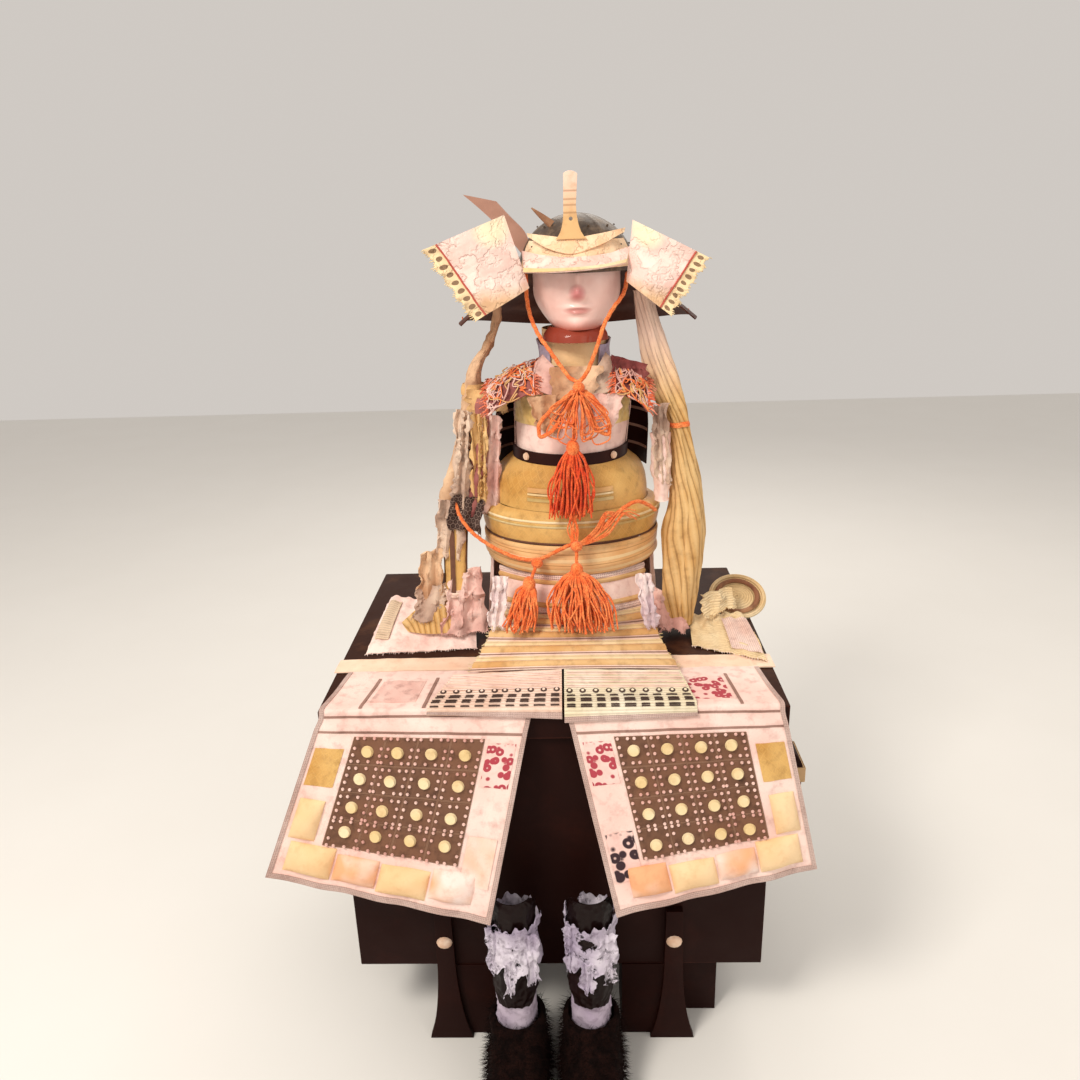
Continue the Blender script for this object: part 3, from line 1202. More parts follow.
def make_cuirass(settings):
    rows = oval_rows(CHEST_CLOTH, -84, 84, 31)
    rows[0, :, 2] -= 30 * (1 - np.abs(np.linspace(-1, 1, 31))) ** 2
    grid = fine_grid(rows, 4)
    raised = creases(grid, [
        (0.3, 0.05, 0.42, 0.8, 7, -2.0), (0.52, 0.1, 0.5, 0.95, 8, 1.8), (0.62, 0.05, 0.7, 0.7, 7, -1.8),
        (0.2, 0.3, 0.3, 0.95, 8, 1.6), (0.78, 0.25, 0.66, 0.95, 9, 1.6), (0.4, 0.6, 0.6, 0.75, 9, -1.2),
        (0.1, 0.1, 0.16, 0.9, 9, -1.5), (0.9, 0.1, 0.86, 0.9, 9, -1.5),
    ]) + crumple(grid, 40, 0.7, 3)
    cloth("breast_cloth", grid, 1.4, PINK, "pink_cloth", "chest_cloth", "stretched", raised=raised)
    for name, s0, s1, t0, t1 in (("top", 0, 1, 0, 0.06), ("left", 0, 0.03, 0, 1), ("right", 0.97, 1, 0, 1)):
        cloth("breast_trim_" + name, patch(grid + 0, s0, s1, t0, t1, 2.6), 1.0, LACE, "pink_cloth", None, "stretched")

    belt = fine_grid(oval_rows([(1092, 109, 112, 112), (1071, 109, 112, 112)], -88, 88, 31), 3.5)
    fit(shell("belt_leather", belt, 3.6, DARK_PLATE, outward=from_middle), "dark_plate", "belt")
    places, ways = [], []
    for angle in (-47, 45):
        a = math.radians(angle)
        places.append(metres([middle_x(1082) + 110 * math.sin(a), 200 - 113 * math.cos(a), 1082]))
        ways.append((math.sin(a), -math.cos(a), 0))
    bossed("belt_studs", places, ways, PEARL, "dark_plate", 7.2, 6.2, 3.2, 18)
    bossed("chest_bead", [metres([16, 88, 1168])], [FRONT], PEARL, "dark_plate", 4.5, 2.5, 7, 12)

    for name, table, node, finish, slot, seed in (
        ("abdomen_brocade", ABDOMEN, "abdomen", GOLD, "gold_cloth", 5),
        ("lower_brocade", LOWER_PANEL, "lower_panel", GOLD, "gold_cloth", 6),
    ):
        grid = fine_grid(oval_rows(table, count=36), 4, closed=True)
        cloth(name, grid, 1.8, finish, slot, node, "stretched", closed=True, outward=from_middle,
              raised=crumple(grid, 42, 0.7, seed))
        if node == "abdomen":
            front = lambda t0, t1, lift: front_patch(grid, 36, t0, t1, lift)
            cloth("abdomen_welt", front(0.5, 0.6, 2.6), 1.6, TAN_BAND, "gold_cloth", None, "stretched")
            cloth("abdomen_welt_low", front(0.62, 0.66, 2.0), 1.0, CREAM_EDGE, "gold_cloth", None, "stretched")
            cloth("abdomen_gold_line", front(0.72, 0.79, 1.8), 0.8, GOLD_THREAD, "gold_cloth", None, "stretched")
        else:
            belt_round("lower_trim_top", grid, 0.32, 0.38, 2.0, 1.0, CREAM_EDGE, "gold_cloth")
            belt_round("lower_trim_second", grid, 0.45, 0.51, 1.8, 0.8, GOLD_THREAD, "gold_cloth")
            belt_round("lower_trim_low", grid, 0.93, 0.99, 1.8, 1.0, DARK_BAND, "gold_cloth")
    rows = oval_rows(WAIST_BAND, count=48)
    a = np.linspace(0, TAU, 48, endpoint=False)
    rows[1:, :, 2] -= 5 * np.maximum(0, np.cos(a)) ** 2
    grid = fine_grid(rows, 4, closed=True)
    draw = np.random.default_rng(8)
    folds = [(k, t, k + draw.uniform(0.16, 0.34), t + draw.uniform(-0.06, 0.1), draw.uniform(4, 6),
              draw.choice([-2.0, 1.8])) for t in (0.2, 0.36, 0.52, 0.68, 0.84) for k in draw.uniform(0, 1, 6)]
    cloth("waist_satin", grid, 1.8, SATIN, "satin", "waist_band", "gathered", closed=True,
          outward=from_middle, raised=creases(grid, folds, True))
    belt_round("waist_band_edge", grid, 0.02, 0.14, 1.6, 0.9, TAN_BAND, "satin")

    rows = oval_rows(BACK_PLATE, 101, 259, 27)
    rows[0, :, 2] -= 32 * np.linspace(-1, 1, 27) ** 4
    grid = fine_grid(rows, 5)
    fit(shell("back_plate_lacquer", grid, 2.2, DARK_PLATE, outward=from_middle), "dark_plate", "back_plate")
    for k, t in enumerate((0.2, 0.4, 0.6, 0.8)):
        fit(shell(f"back_plate_band_{k}", patch(grid, 0, 1, t, t + 0.03, 1.8), 1.2, BROWN_PLATE, outward=UP - FRONT),
            "dark_plate")

    for side, start, stop, z0, z1, bend in (("left", -74, -22, 1202, 1140, 0.6), ("right", 24, 70, 1204, 1138, 1.8)):
        rows = []
        for i, z in enumerate(np.linspace(z0, z1, 4)):
            half, front = (np.interp(z, [r[0] for r in CHEST_CLOTH[::-1]], [r[k] for r in CHEST_CLOTH[::-1]]) for k in (1, 2))
            row = []
            for j, t in enumerate(np.linspace(0, 1, 4)):
                lift = 4.6 + bend * (1 + math.sin(2.6 * i + 2 * j))
                a = math.radians(lerp(start, stop, t))
                row.append([middle_x(z) + (half + lift) * math.sin(a), 200 - (front + lift) * math.cos(a), z])
            rows.append(row)
        grid = fine_grid(rows, 3)
        raised = creases(grid, [(0.2, 0.1, 0.6, 0.9, 6, 2.2), (0.6, 0.05, 0.8, 0.7, 6, -2.0), (0.1, 0.6, 0.4, 0.95, 5, -1.6)])
        cloth("gold_satin_" + side, grid, 2.0, PALE_GOLD, "gold_cloth", "gold_panel_" + side, "stretched",
              ("chest_cloth",), raised=raised + crumple(grid, 30, 1.6, 4, True), outward=from_middle)
    for side in ("left", "right"):
        shoulder(side)
    collar()


def shoulder(side):
    path = [[96, 1198], [106, 1218], [146, 1236], [200, 1241], [250, 1232], [288, 1216]]
    near, far = (-22, -104) if side == "left" else (122, 178)
    rows = []
    for i, (y, z) in enumerate(path):
        row = []
        for j, t in enumerate(np.linspace(0, 1, 6)):
            gather = 3.5 * math.sin(2.4 * i + 2.1 * j) * math.sin(math.pi * t)
            row.append([lerp(near, far, t), y, z + gather - 34 * t * t])
        rows.append(row)
    grid = fine_grid(rows, 4)
    raised = creases(grid, [(0.1, 0.2, 0.9, 0.3, 7, -2.2), (0.1, 0.42, 0.9, 0.5, 8, 2.0), (0.1, 0.65, 0.9, 0.6, 7, -2.0)])
    raised += crumple(grid, 26, 2.0, 31, True) + crumple(grid, 50, 2.0, 32)
    cloth("shoulder_cloth_" + side, grid, 2.6, SCRAP_RED, "dark_cloth", "shoulder_" + side, "draped",
          ("stand_post",), outward=UP, raised=raised)
    lines = []
    draw = np.random.default_rng(40 + len(side))
    for edge in (0, -1):
        line = grid[:, edge] + [0, 0, 2 * MM]
        for p in smooth(line, 3.5):
            way = np.array([(-1 if edge else 1) * (near - far) / abs(near - far), 0, 0]) + draw.normal(size=3) * [0.3, 0.5, 0.3]
            q = p + way * 6 * MM
            r = p + way * 12 * MM + [0, 0, -5 * MM]
            lines.append([p, q, r])
    strands("shoulder_frill_" + side, lines, 1.5, YARN_PINK, "yarn", sides=4, taper=0.5)
    normals = normals_of(grid, False, UP)[0]
    for name, count, finish in (("orange", 12, YARN), ("brown", 8, TAN_BAND), ("pink", 22, SCRAP_PINK)):
        loops = []
        for _ in range(count):
            i, j = draw.integers(0, int(grid.shape[0] * 0.45)), draw.integers(1, grid.shape[1] - 1)
            points = []
            for _ in range(6):
                points.append(grid[i, j] + normals[i, j] * draw.uniform(2.5, 6.0) * MM)
                i = int(np.clip(i + draw.integers(-5, 6), 0, grid.shape[0] - 1))
                j = int(np.clip(j + draw.integers(-4, 5), 0, grid.shape[1] - 1))
            loops.append(smooth(points, 3.5))
        strands(f"shoulder_yarn_{name}_{side}", loops, 1.4, finish, "yarn", sides=4, taper=0.8)


def collar():
    rows = []
    for i, (z, out) in enumerate(((1282, 8), (1262, 5), (1238, 4))):
        row = []
        for j, t in enumerate(np.linspace(0, 1, 17)):
            a = math.radians(lerp(42, 318, t))
            r = 61 + out + 1.5 * math.sin(1.7 * j + i)
            tip = 6 - 3 * i if j < 2 or j > 14 else 0
            row.append([NECK_X + r * math.sin(a), 200 - r * math.cos(a), z - tip])
        rows.append(row)
    grid = fine_grid(rows, 3.5)
    cloth("collar_cloth", grid, 1.6, LILAC, "lilac_cloth", "collar", "gathered", ("neck_cover",),
          outward=lambda g: g - metres([NECK_X, 200, 1260]), raised=crumple(grid, 26, 0.8, 9))
    for name, corners, finish, seed in (
        ("left", [[-6, 150, 1262], [-28, 128, 1243], [-12, 101, 1204], [30, 101, 1192], [24, 128, 1232]], SCRAP_PINK, 1),
        ("right", [[106, 150, 1262], [128, 128, 1243], [118, 101, 1204], [76, 99, 1192], [84, 128, 1232]], SCRAP_GREY, 2),
    ):
        high, outer, low, inner, fold = (np.array(p, float) for p in corners)
        rows = [
            [lerp(high, outer, v * 0.6), lerp(high, lerp(outer, low, 0.3), v), lerp(fold, lerp(low, inner, 0.2), v), lerp(fold, inner, v)]
            for v in np.linspace(0, 1, 5)
        ]
        grid = fine_grid(rows, 3.5)
        raised = crumple(grid, 18, 2.0, seed, True) + crumple(grid, 34, 2.2, seed + 4)
        cloth("lapel_" + name, grid, 1.4, finish, "lilac_cloth", None, "gathered", ("collar",), raised=raised)


# Skirt


def fan(table, across=31):
    s = np.linspace(-1, 1, across)
    return np.array([
        np.stack([38 + half * s, y + back * s * s, z - drop * s * s], axis=1)
        for z, y, half, drop, back in table
    ])


UPPER_SKIRT = [(868.6, 66, 138, 4, 74), (848, 58, 139, 6, 72), (824, 50, 140, 8, 70), (801, 42, 141, 10, 68)]
BANDED_SKIRT = [(800.6, 41.3, 142, 10, 68.6), (788, 8, 150, 16, 50), (776, -22, 160, 18, 40),
                (764, -52, 172, 18, 32), (754, -80, 184, 16, 24)]


def make_skirt(settings):
    grid = fine_grid(fan(UPPER_SKIRT), 4)
    cloth("skirt_top_cloth", grid, 1.4, PINK, "pink_cloth", "skirt_upper", "hung", outward=FRONT_UP,
          raised=crumple(grid, 36, 0.8, 12))
    for name, t0, t1, finish, lift in (
        ("lace_high", 0.0, 0.12, LACE, 1.6), ("roll_high", 0.14, 0.26, TAN_BAND, 3.0),
        ("roll_low", 0.72, 0.85, TAN_BAND, 3.0), ("lace_low", 0.87, 0.99, LACE, 1.6),
    ):
        roll("skirt_" + name, grid, t0, t1, lift, finish, "pink_cloth")
    rows = []
    for i, row in enumerate(BANDED_SKIRT[:-1]):
        for f, lift in ((0, 0.6), (0.55, 3.6)):
            rows.append([lerp(a, b, f) for a, b in zip(row, BANDED_SKIRT[i + 1])])
    rows.append(BANDED_SKIRT[-1])
    grid = fine_grid(fan(rows), 4)
    cloth("skirt_band_cloth", grid, 1.4, PINK_RIB, "tan_cloth", "skirt_banded", "hung", ("skirt_upper",),
          outward=FRONT_UP)
    for k in range(4):
        roll(f"skirt_band_{k}", grid, k / 4 + 0.02, k / 4 + 0.09, 2.4, TAN_PALE, "tan_cloth")
        roll(f"skirt_band_broad_{k}", grid, k / 4 + 0.1, k / 4 + 0.2, 3.4, TAN_BAND, "tan_cloth")
        roll(f"skirt_band_line_{k}", grid, k / 4 + 0.222, k / 4 + 0.238, 1.2, TUCK, "tan_cloth")
    for side, j, inner in (("left", 0, 4), ("right", -1, -5)):
        fray("skirt_fray_" + side, grid[:, j], grid[:, inner], CREAM_EDGE, "tan_cloth", 23, 8)
    back = []
    for i, z in enumerate((873.6, 800, 721.8)):
        row = []
        for j, t in enumerate(np.linspace(0, 1, 55)):
            a = math.radians(lerp(72, 288, t))
            pleat = 3 * i * math.sin(j / 3 * 1.9)
            row.append([38 + (160 + 3 * i + pleat) * math.sin(a), 200 - (126 + 7 * i + pleat) * math.cos(a), z])
        back.append(row)
    grid = fine_grid(back, 5)
    cloth("skirt_rear_cloth", grid, 1.4, PINK, "pink_cloth", "skirt_back", "hung", ("chest_lid",),
          outward=lambda g: g - metres([38, 200, 800]), raised=crumple(grid, 50, 1.2, 14))
    for side, top, lip, low in (
        ("left", [[-172, -76, 744], [17, -81, 753.4]], [[-208, -159, 731], [17, -159, 731]], (722, 710)),
        ("right", [[21, -81, 753.2], [222, -76, 746]], [[21, -159, 731], [240, -159, 731]], (703, 713)),
    ):
        tasset(side, top, lip, low)


def roll(name, grid, t0, t1, lift, finish, slot):
    """A rolled band sewn across a fan of cloth."""
    strip = patch(grid, 0, 1, t0, t1, 0.8)
    t = cut_places(strip)[1]
    return cloth(name, strip, 0.7, finish, slot, None, "stretched", outward=FRONT_UP,
                 raised=lift * MM * np.sin(np.pi * t) ** 0.6)


def tasset(side, top, lip, low):
    top, lip = np.array(top, float), np.array(lip, float)
    u = np.linspace(0, 1, 25)[:, None]
    rows = [lerp(lerp(top[0], top[1], u), lerp(lip[0], lip[1], u), v) for v in np.linspace(0, 1, 5)]
    edge = rows[-1]
    rows.append(edge + [0, -8.6, -6])
    rows.append(np.stack([edge[:, 0], np.full(25, -174.5), np.linspace(low[0], low[1], 25)], axis=1))
    grid = fine_grid(rows, 3.5)
    main, bars = (PINK_RIB if side == "left" else CREAM), BAR
    cloth("tasset_cloth_" + side, grid, 1.8, main, "pink_cloth", "tasset_" + side, "hung",
          ("skirt_banded", "apron_" + side), outward=FRONT_UP, raised=crumple(grid, 30, 0.5, 16))
    hem = patch(grid, 0, 1, 0.93, 1, 1.2)
    cloth("tasset_hem_" + side, hem, 0.8, BRAID, "pink_cloth", None, "stretched", outward=FRONT_UP)
    over, down = lengths(grid)
    s, t = over / over[-1], down / down[-1]
    normals = normals_of(grid, False, FRONT_UP)[0]

    def at(su, tv, lift=1.4):
        i = int(np.argmin(np.abs(t - tv)))
        j = int(np.argmin(np.abs(s - su)))
        return grid[i, j] + normals[i, j] * lift * MM, normals[i, j]

    lines = []
    for k in range(9):
        centre = (k + 0.5) / 9
        for n in range(5):
            tv = 0.6 + 0.055 * n
            lines.append([at(centre - 0.035, tv)[0], at(centre, tv, 2.0)[0], at(centre + 0.035, tv)[0]])
    strands("tasset_lacing_" + side, lines, 1.5, bars, "pink_cloth", sides=5, taper=1)
    spots = [at((k + 0.5) / 10, 0.49, 0.6) for k in range(10)]
    bossed("tasset_ovals_" + side, [p for p, _ in spots], [n for _, n in spots], bars, "pink_cloth", 5.6, 4.8, 1.0, 12)
    bossed("tasset_oval_hearts_" + side, [p for p, _ in spots], [n for _, n in spots], main, "pink_cloth", 3.0, 2.4, 1.5, 10)
    ribs = [[at(0.02, tv, 0.9)[0], *[at(q, tv, 1.0)[0] for q in np.linspace(0.05, 0.95, 24)], at(0.98, tv, 0.9)[0]]
            for tv in (0.06, 0.12, 0.18, 0.24, 0.3, 0.36, 0.42)]
    strands("tasset_cording_" + side, ribs, 1.1, LACE, "pink_cloth", sides=4, taper=1)


# Thigh guards

APRONS = {
    "left": (-28, -368, -34, -390, [-112, -268, 371], [-496, -234, 446]),
    "right": (26, 366, 24, 384, [102, -262, 380], [444, -212, 436]),
}


def make_aprons(settings):
    for side, (top_inner, top_outer, edge_inner, edge_outer, low_inner, low_outer) in APRONS.items():
        u = np.linspace(0, 1, 33)
        flat = np.ones_like(u)
        rows = [
            np.stack([lerp(lerp(top_inner, edge_inner, t), lerp(top_outer, edge_outer, t), u), flat * y, flat * 725.8], axis=1)
            for y, t in ((-28, 0), (-95, 0.5), (-140, 0.85))
        ]
        for turn in (0, 15, 30, 45, 60, 75, 90):
            a = math.radians(turn)
            rows.append(np.stack([lerp(edge_inner, edge_outer, u), flat * (-159.6 - 6 * math.sin(a)),
                                  flat * (720 + 6 * math.cos(a))], axis=1))
        edge = rows[-1]
        end = lerp(np.array(low_inner, float), np.array(low_outer, float), u[:, None])
        for t in (0.1, 0.28, 0.46, 0.64, 0.82, 1):
            swell = 4 * math.sin(math.pi * t) + 1.6 * t * np.sin(24 * u + 2 * t)
            rows.append(lerp(edge, end, t) - np.stack([0 * u, swell, 0 * u], axis=1))
        grid = fine_grid(rows, 5)
        out = lambda g: np.where(g[..., 2:3] > 0.7225, UP, FRONT)
        s, t = cut_places(grid)
        raised = creases(grid, [
            (0.02, 0.36, 0.98, 0.38, 6, -1.6), (0.05, 0.42, 0.8, 0.45, 8, 2.2), (0.9, 0.3, 0.82, 0.8, 10, 2.4),
            (0.12, 0.5, 0.1, 0.98, 9, -1.8), (0.3, 0.88, 0.6, 0.92, 12, 2.0), (0.55, 0.98, 0.5, 0.86, 14, -2.2),
            (0.75, 0.95, 0.8, 0.83, 12, 2.0), (0.2, 0.02, 0.22, 0.26, 9, 1.8), (0.45, 0.02, 0.43, 0.28, 9, -1.6),
            (0.7, 0.02, 0.72, 0.28, 9, 1.8),
        ]) + crumple(grid, 60, 1.0, 30)
        cloth("thigh_guard_" + side, grid, 4.0, PINK_RIB if settings.ribbed else PINK, "pink_cloth",
              "apron_" + side, "hung", ("chest_lid",), outward=out, raised=raised)
        face = grid + normals_of(grid, False, out)[0] * raised[..., None]
        hang = float(t[np.argmin(np.abs(grid[:, 5, 2] - 0.72)), 0])
        low = lambda f: hang + (1 - hang) * f
        for name, s0, s1, t0, t1, lift in (
            ("inner", 0, 0.022, 0.01, 1, 1.4), ("outer", 0.978, 1, 0.01, 1, 1.4), ("hem", 0.022, 0.978, 0.978, 1, 1.4),
        ):
            cloth(f"thigh_braid_{name}_{side}", patch(face, s0, s1, t0, t1, lift), 1.2, BRAID, "pink_cloth",
                  None, "hung", ("apron_" + side,), outward=FRONT_UP)
        for name, s0, s1, t0, t1, finish, lift in (
            ("tuck_high", 0.022, 0.978, low(0.01), low(0.022), TUCK, 1.0),
            ("tuck_low", 0.022, 0.978, low(0.1), low(0.112), TUCK, 1.0),
            ("pleat_first", 0.3, 0.315, 0.06, hang * 0.94, TUCK, 1.4), ("pleat_second", 0.5, 0.515, 0.06, hang * 0.94, TUCK, 1.4),
            ("pleat_third", 0.8, 0.815, 0.06, hang * 0.94, TUCK, 1.4),
            ("patch_petals", 0.04, 0.17, low(0.15), low(0.36), PETALS, 1.0),
            ("patch_gold", 0.83, 0.965, low(0.2), low(0.42), GOLD, 1.0),
            ("patch_low", 0.04, 0.17, low(0.6), low(0.84), PADDED if side == "left" else SCROLL, 1.6),
            ("patch_lid", 0.56, 0.78, 0.08, hang * 0.8, PETALS if side == "right" else SCRAP_PINK, 0.8),
            ("pad_first", 0.1, 0.29, low(0.78), low(0.93), PADDED, 1.0), ("pad_second", 0.3, 0.52, low(0.8), low(0.95), PEACH, 1.0),
            ("pad_third", 0.53, 0.72, low(0.79), low(0.94), PADDED, 1.0), ("pad_fourth", 0.73, 0.94, low(0.76), low(0.94), PEACH, 1.0),
            ("pad_side", 0.84, 0.96, low(0.5), low(0.74), PEACH, 1.0),
        ):
            strip = patch(face, s0, s1, t0, t1, lift)
            swell = None
            if name.startswith("pad_"):
                across, down = cut_places(strip)
                swell = 15 * MM * (np.sin(np.pi * down) * np.sin(np.pi * across)) ** 0.5 + crumple(strip, 40, 0.8, 3)
            cloth(f"thigh_{name}_{side}", strip, 0.8, finish, "pink_cloth", None, "stretched", ("apron_" + side,),
                  outward=out, raised=swell)
        panel = patch(face, 0.19, 0.8, low(0.13), low(0.75), 1.3)
        cloth("studded_panel_" + side, panel, 1.2, KIKKO, "pink_cloth", None, "stretched", ("apron_" + side,))
        panel_studs(side, face, hang)
    rows = [[[lerp(-398, 398, u), lerp(26, -24.6, v) + 3 * math.sin(5 * u), 723.5 + 0.4 * v]
             for u in np.linspace(0, 1, 41)] for v in (0, 0.5, 1)]
    grid = fine_grid(rows, 5)
    cloth("waist_tie", grid, 1.8, CREAM_PINK, "peach_cloth", "apron_belt", "laid", ("chest_lid",), outward=UP,
          raised=crumple(grid, 45, 0.6, 33))


def panel_studs(side, face, hang):
    """A pale disc in the middle of each square of the panel, in a ring of small beads."""
    over, down = lengths(face)
    s, t = over / over[-1], down / down[-1]
    normals = normals_of(face, False, FRONT)[0]

    def at(u, v, lift):
        i, j = int(np.argmin(np.abs(t - v))), int(np.argmin(np.abs(s - u)))
        return face[i, j] + normals[i, j] * lift * MM, normals[i, j]

    plates, dots = [], []
    for i in range(4):
        for k in range(4):
            u, v = 0.19 + 0.61 * (k + 0.5) / 4, 0.13 + 0.62 * (i + 0.5) / 4
            plates.append(at(u, hang + (1 - hang) * v, 1.6))
            for step in range(12):
                side_of, along = divmod(step, 3)
                x, y = ((along - 1.5) * 0.27, -0.4)
                for _ in range(side_of):
                    x, y = -y, x
                dots.append(at(u + 0.1525 * x, hang + (1 - hang) * (v + 0.155 * y), 2.4))
    bossed("panel_discs_" + side, [p for p, _ in plates], [n for _, n in plates], CREAM_EDGE, "pink_cloth", 10.5, 8.0, 5.5, 18)
    bossed("panel_beads_" + side, [p for p, _ in dots], [n for _, n in dots], SCRAP_PINK, "pink_cloth", 3.1, 1.8, 2.6, 7)


# Sleeves and hand pieces

RIGHT_DRAPE = [
    (1364, 158, 192, 203, 13), (1300, 168, 208, 200, 16), (1240, 176, 226, 196, 22), (1175, 196, 246, 186, 27),
    (1110, 222, 263, 176, 28), (1040, 226, 277, 168, 30), (975, 226, 288, 158, 32), (922, 212, 293, 150, 32),
    (860, 212, 287, 142, 30), (800, 212, 277, 132, 28), (741, 216, 266, 126, 24),
]
RIGHT_INNER = [(1112, 188.8, 222.8, 160, 12), (1050, 191.8, 225.8, 156, 15), (985, 198, 221, 150, 12)]
LEFT_OUTER = [
    (1361.4, -80, -94, 202, 8), (1306, -86, -100, 200, 9), (1221, -122, -150, 192, 18), (1177, -120, -158, 186, 26),
    (1082, -138, -182, 178, 28), (1035, -156, -200, 172, 26), (985, -168, -214, 168, 24),
]
LEFT_INNER = [(1186, -98, -130, 154.4, 11), (1110, -108, -142, 150.4, 12), (1035, -120, -150, 146.4, 13), (965, -142, -162, 139, 10)]
SPLINT = [(983.9, -158, -212, 167, 22), (940, -160, -208, 158, 21), (845, -164, -206, 139, 19), (808, -162, -208, 132, 20)]


def sleeve_grid(table, depth, waves, twist, step=4.5):
    a = np.radians(np.arange(0, 360, 7.5))
    rows = []
    for i, (z, inner, outer, y, deep) in enumerate(table):
        fold = 1 + depth * np.sin(waves * a + twist * i)
        rows.append(np.stack([(inner + outer) / 2 + (outer - inner) / 2 * fold * np.sin(a),
                              y - deep * fold * np.cos(a), np.full_like(a, z)], axis=1))
    return fine_grid(rows, step, closed=True)


def slanting(count, seed, wide, high, lean=0.12, turn=(0.12, 0.3)):
    """Creases that slant down round a tube, unevenly."""
    draw = np.random.default_rng(seed)
    lines = []
    for k in range(count):
        s, t = draw.random(), (k + draw.random()) / count
        lines.append((s, t, s + draw.uniform(*turn), t + draw.uniform(0.4, 1.2) * lean,
                      wide * draw.uniform(0.7, 1.3), high * draw.uniform(0.6, 1.2) * (-1 if k % 2 else 1)))
    return lines


def make_sleeves(settings):
    for name, table, fold, finish, slot, node, lines, size in (
        ("right_drape", RIGHT_DRAPE, (0.09, 5, 0.7), TAN, "tan_cloth", "sleeve_right_drape", slanting(46, 50, 6, 4.0, 0.34, (0.01, 0.07)), 34),
        ("right_under_sleeve", RIGHT_INNER, (0.1, 4, 1.1), PINK, "pink_cloth", "sleeve_right_inner", slanting(12, 51, 5, 2.2, 0.2), 26),
        ("left_drape", LEFT_OUTER, (0.08, 4, 0.9), SCRAP_TAN, "tan_cloth", "sleeve_left_outer", slanting(34, 52, 6, 4.0, 0.3, (0.01, 0.1)), 22),
        ("left_under_sleeve", LEFT_INNER, (0.1, 3, 1.2), SCRAP_RED, "lilac_cloth", "sleeve_left_inner", slanting(16, 53, 5, 2.2, 0.14), 26),
        ("forearm_brocade", SPLINT, (0.05, 5, 0), GOLD, "gold_cloth", "forearm_splints", [], 30),
    ):
        grid = sleeve_grid(table, *fold)
        raised = creases(grid, lines, True) + crumple(grid, size, 0.8 if finish in (TAN, GOLD) else 2.4, len(name))
        cloth(name, grid, 1.4, finish, slot, node, "hung", closed=True, outward=from_middle, raised=raised)
        if name == "forearm_brocade":
            for k, at in enumerate((0.0, 0.24, 0.48, 0.78)):
                strip = patch_tube(grid, at, at + 0.07, 0.02, 0.98, 2.0)
                cloth(f"forearm_splint_{k}", strip, 1.2, DARK_BAND, "gold_cloth", None, "stretched", outward=from_axis(grid))
            belt_round("forearm_cuff_top", grid, 0.0, 0.07, 2.2, 1.0, PINK_RIB, "gold_cloth")
            belt_round("forearm_cuff_low", grid, 0.92, 1.0, 2.2, 1.0, PINK_RIB, "gold_cloth")
        if name == "left_drape":
            belt_round("left_arm_roll", grid, 0.42, 0.47, 5.0, 1.2, TAN_BAND, "tan_cloth")
            net = patch_tube(grid, 0.82, 1.0, 0.6, 0.95, 2.0)
            cloth("left_arm_net", net, 0.8, NET, "tan_cloth", None, "stretched", outward=from_axis(grid))
        if name == "right_drape":
            belt_round("right_arm_tie", grid, 0.38, 0.395, 2.4, 1.0, YARN, "tan_cloth")


def from_axis(tube):
    middle = tube.mean(axis=(0, 1))
    return lambda g: (g - middle) * [1, 1, 0]


def patch_tube(grid, s0, s1, t0, t1, lift):
    """Part of a tube's wall, lifted off it."""
    ring = np.concatenate([grid, grid[:, :1]], axis=1)
    normals = normals_of(grid, True, from_middle)[0]
    normals = np.concatenate([normals, normals[:, :1]], axis=1)
    rows, columns = ring.shape[:2]
    i = np.arange(int(t0 * (rows - 1)), int(t1 * (rows - 1)) + 1)
    j = np.arange(int(s0 * (columns - 1)), max(int(s1 * (columns - 1)), int(s0 * (columns - 1)) + 2) + 1)
    return (ring + normals * lift * MM)[np.ix_(i, j)]


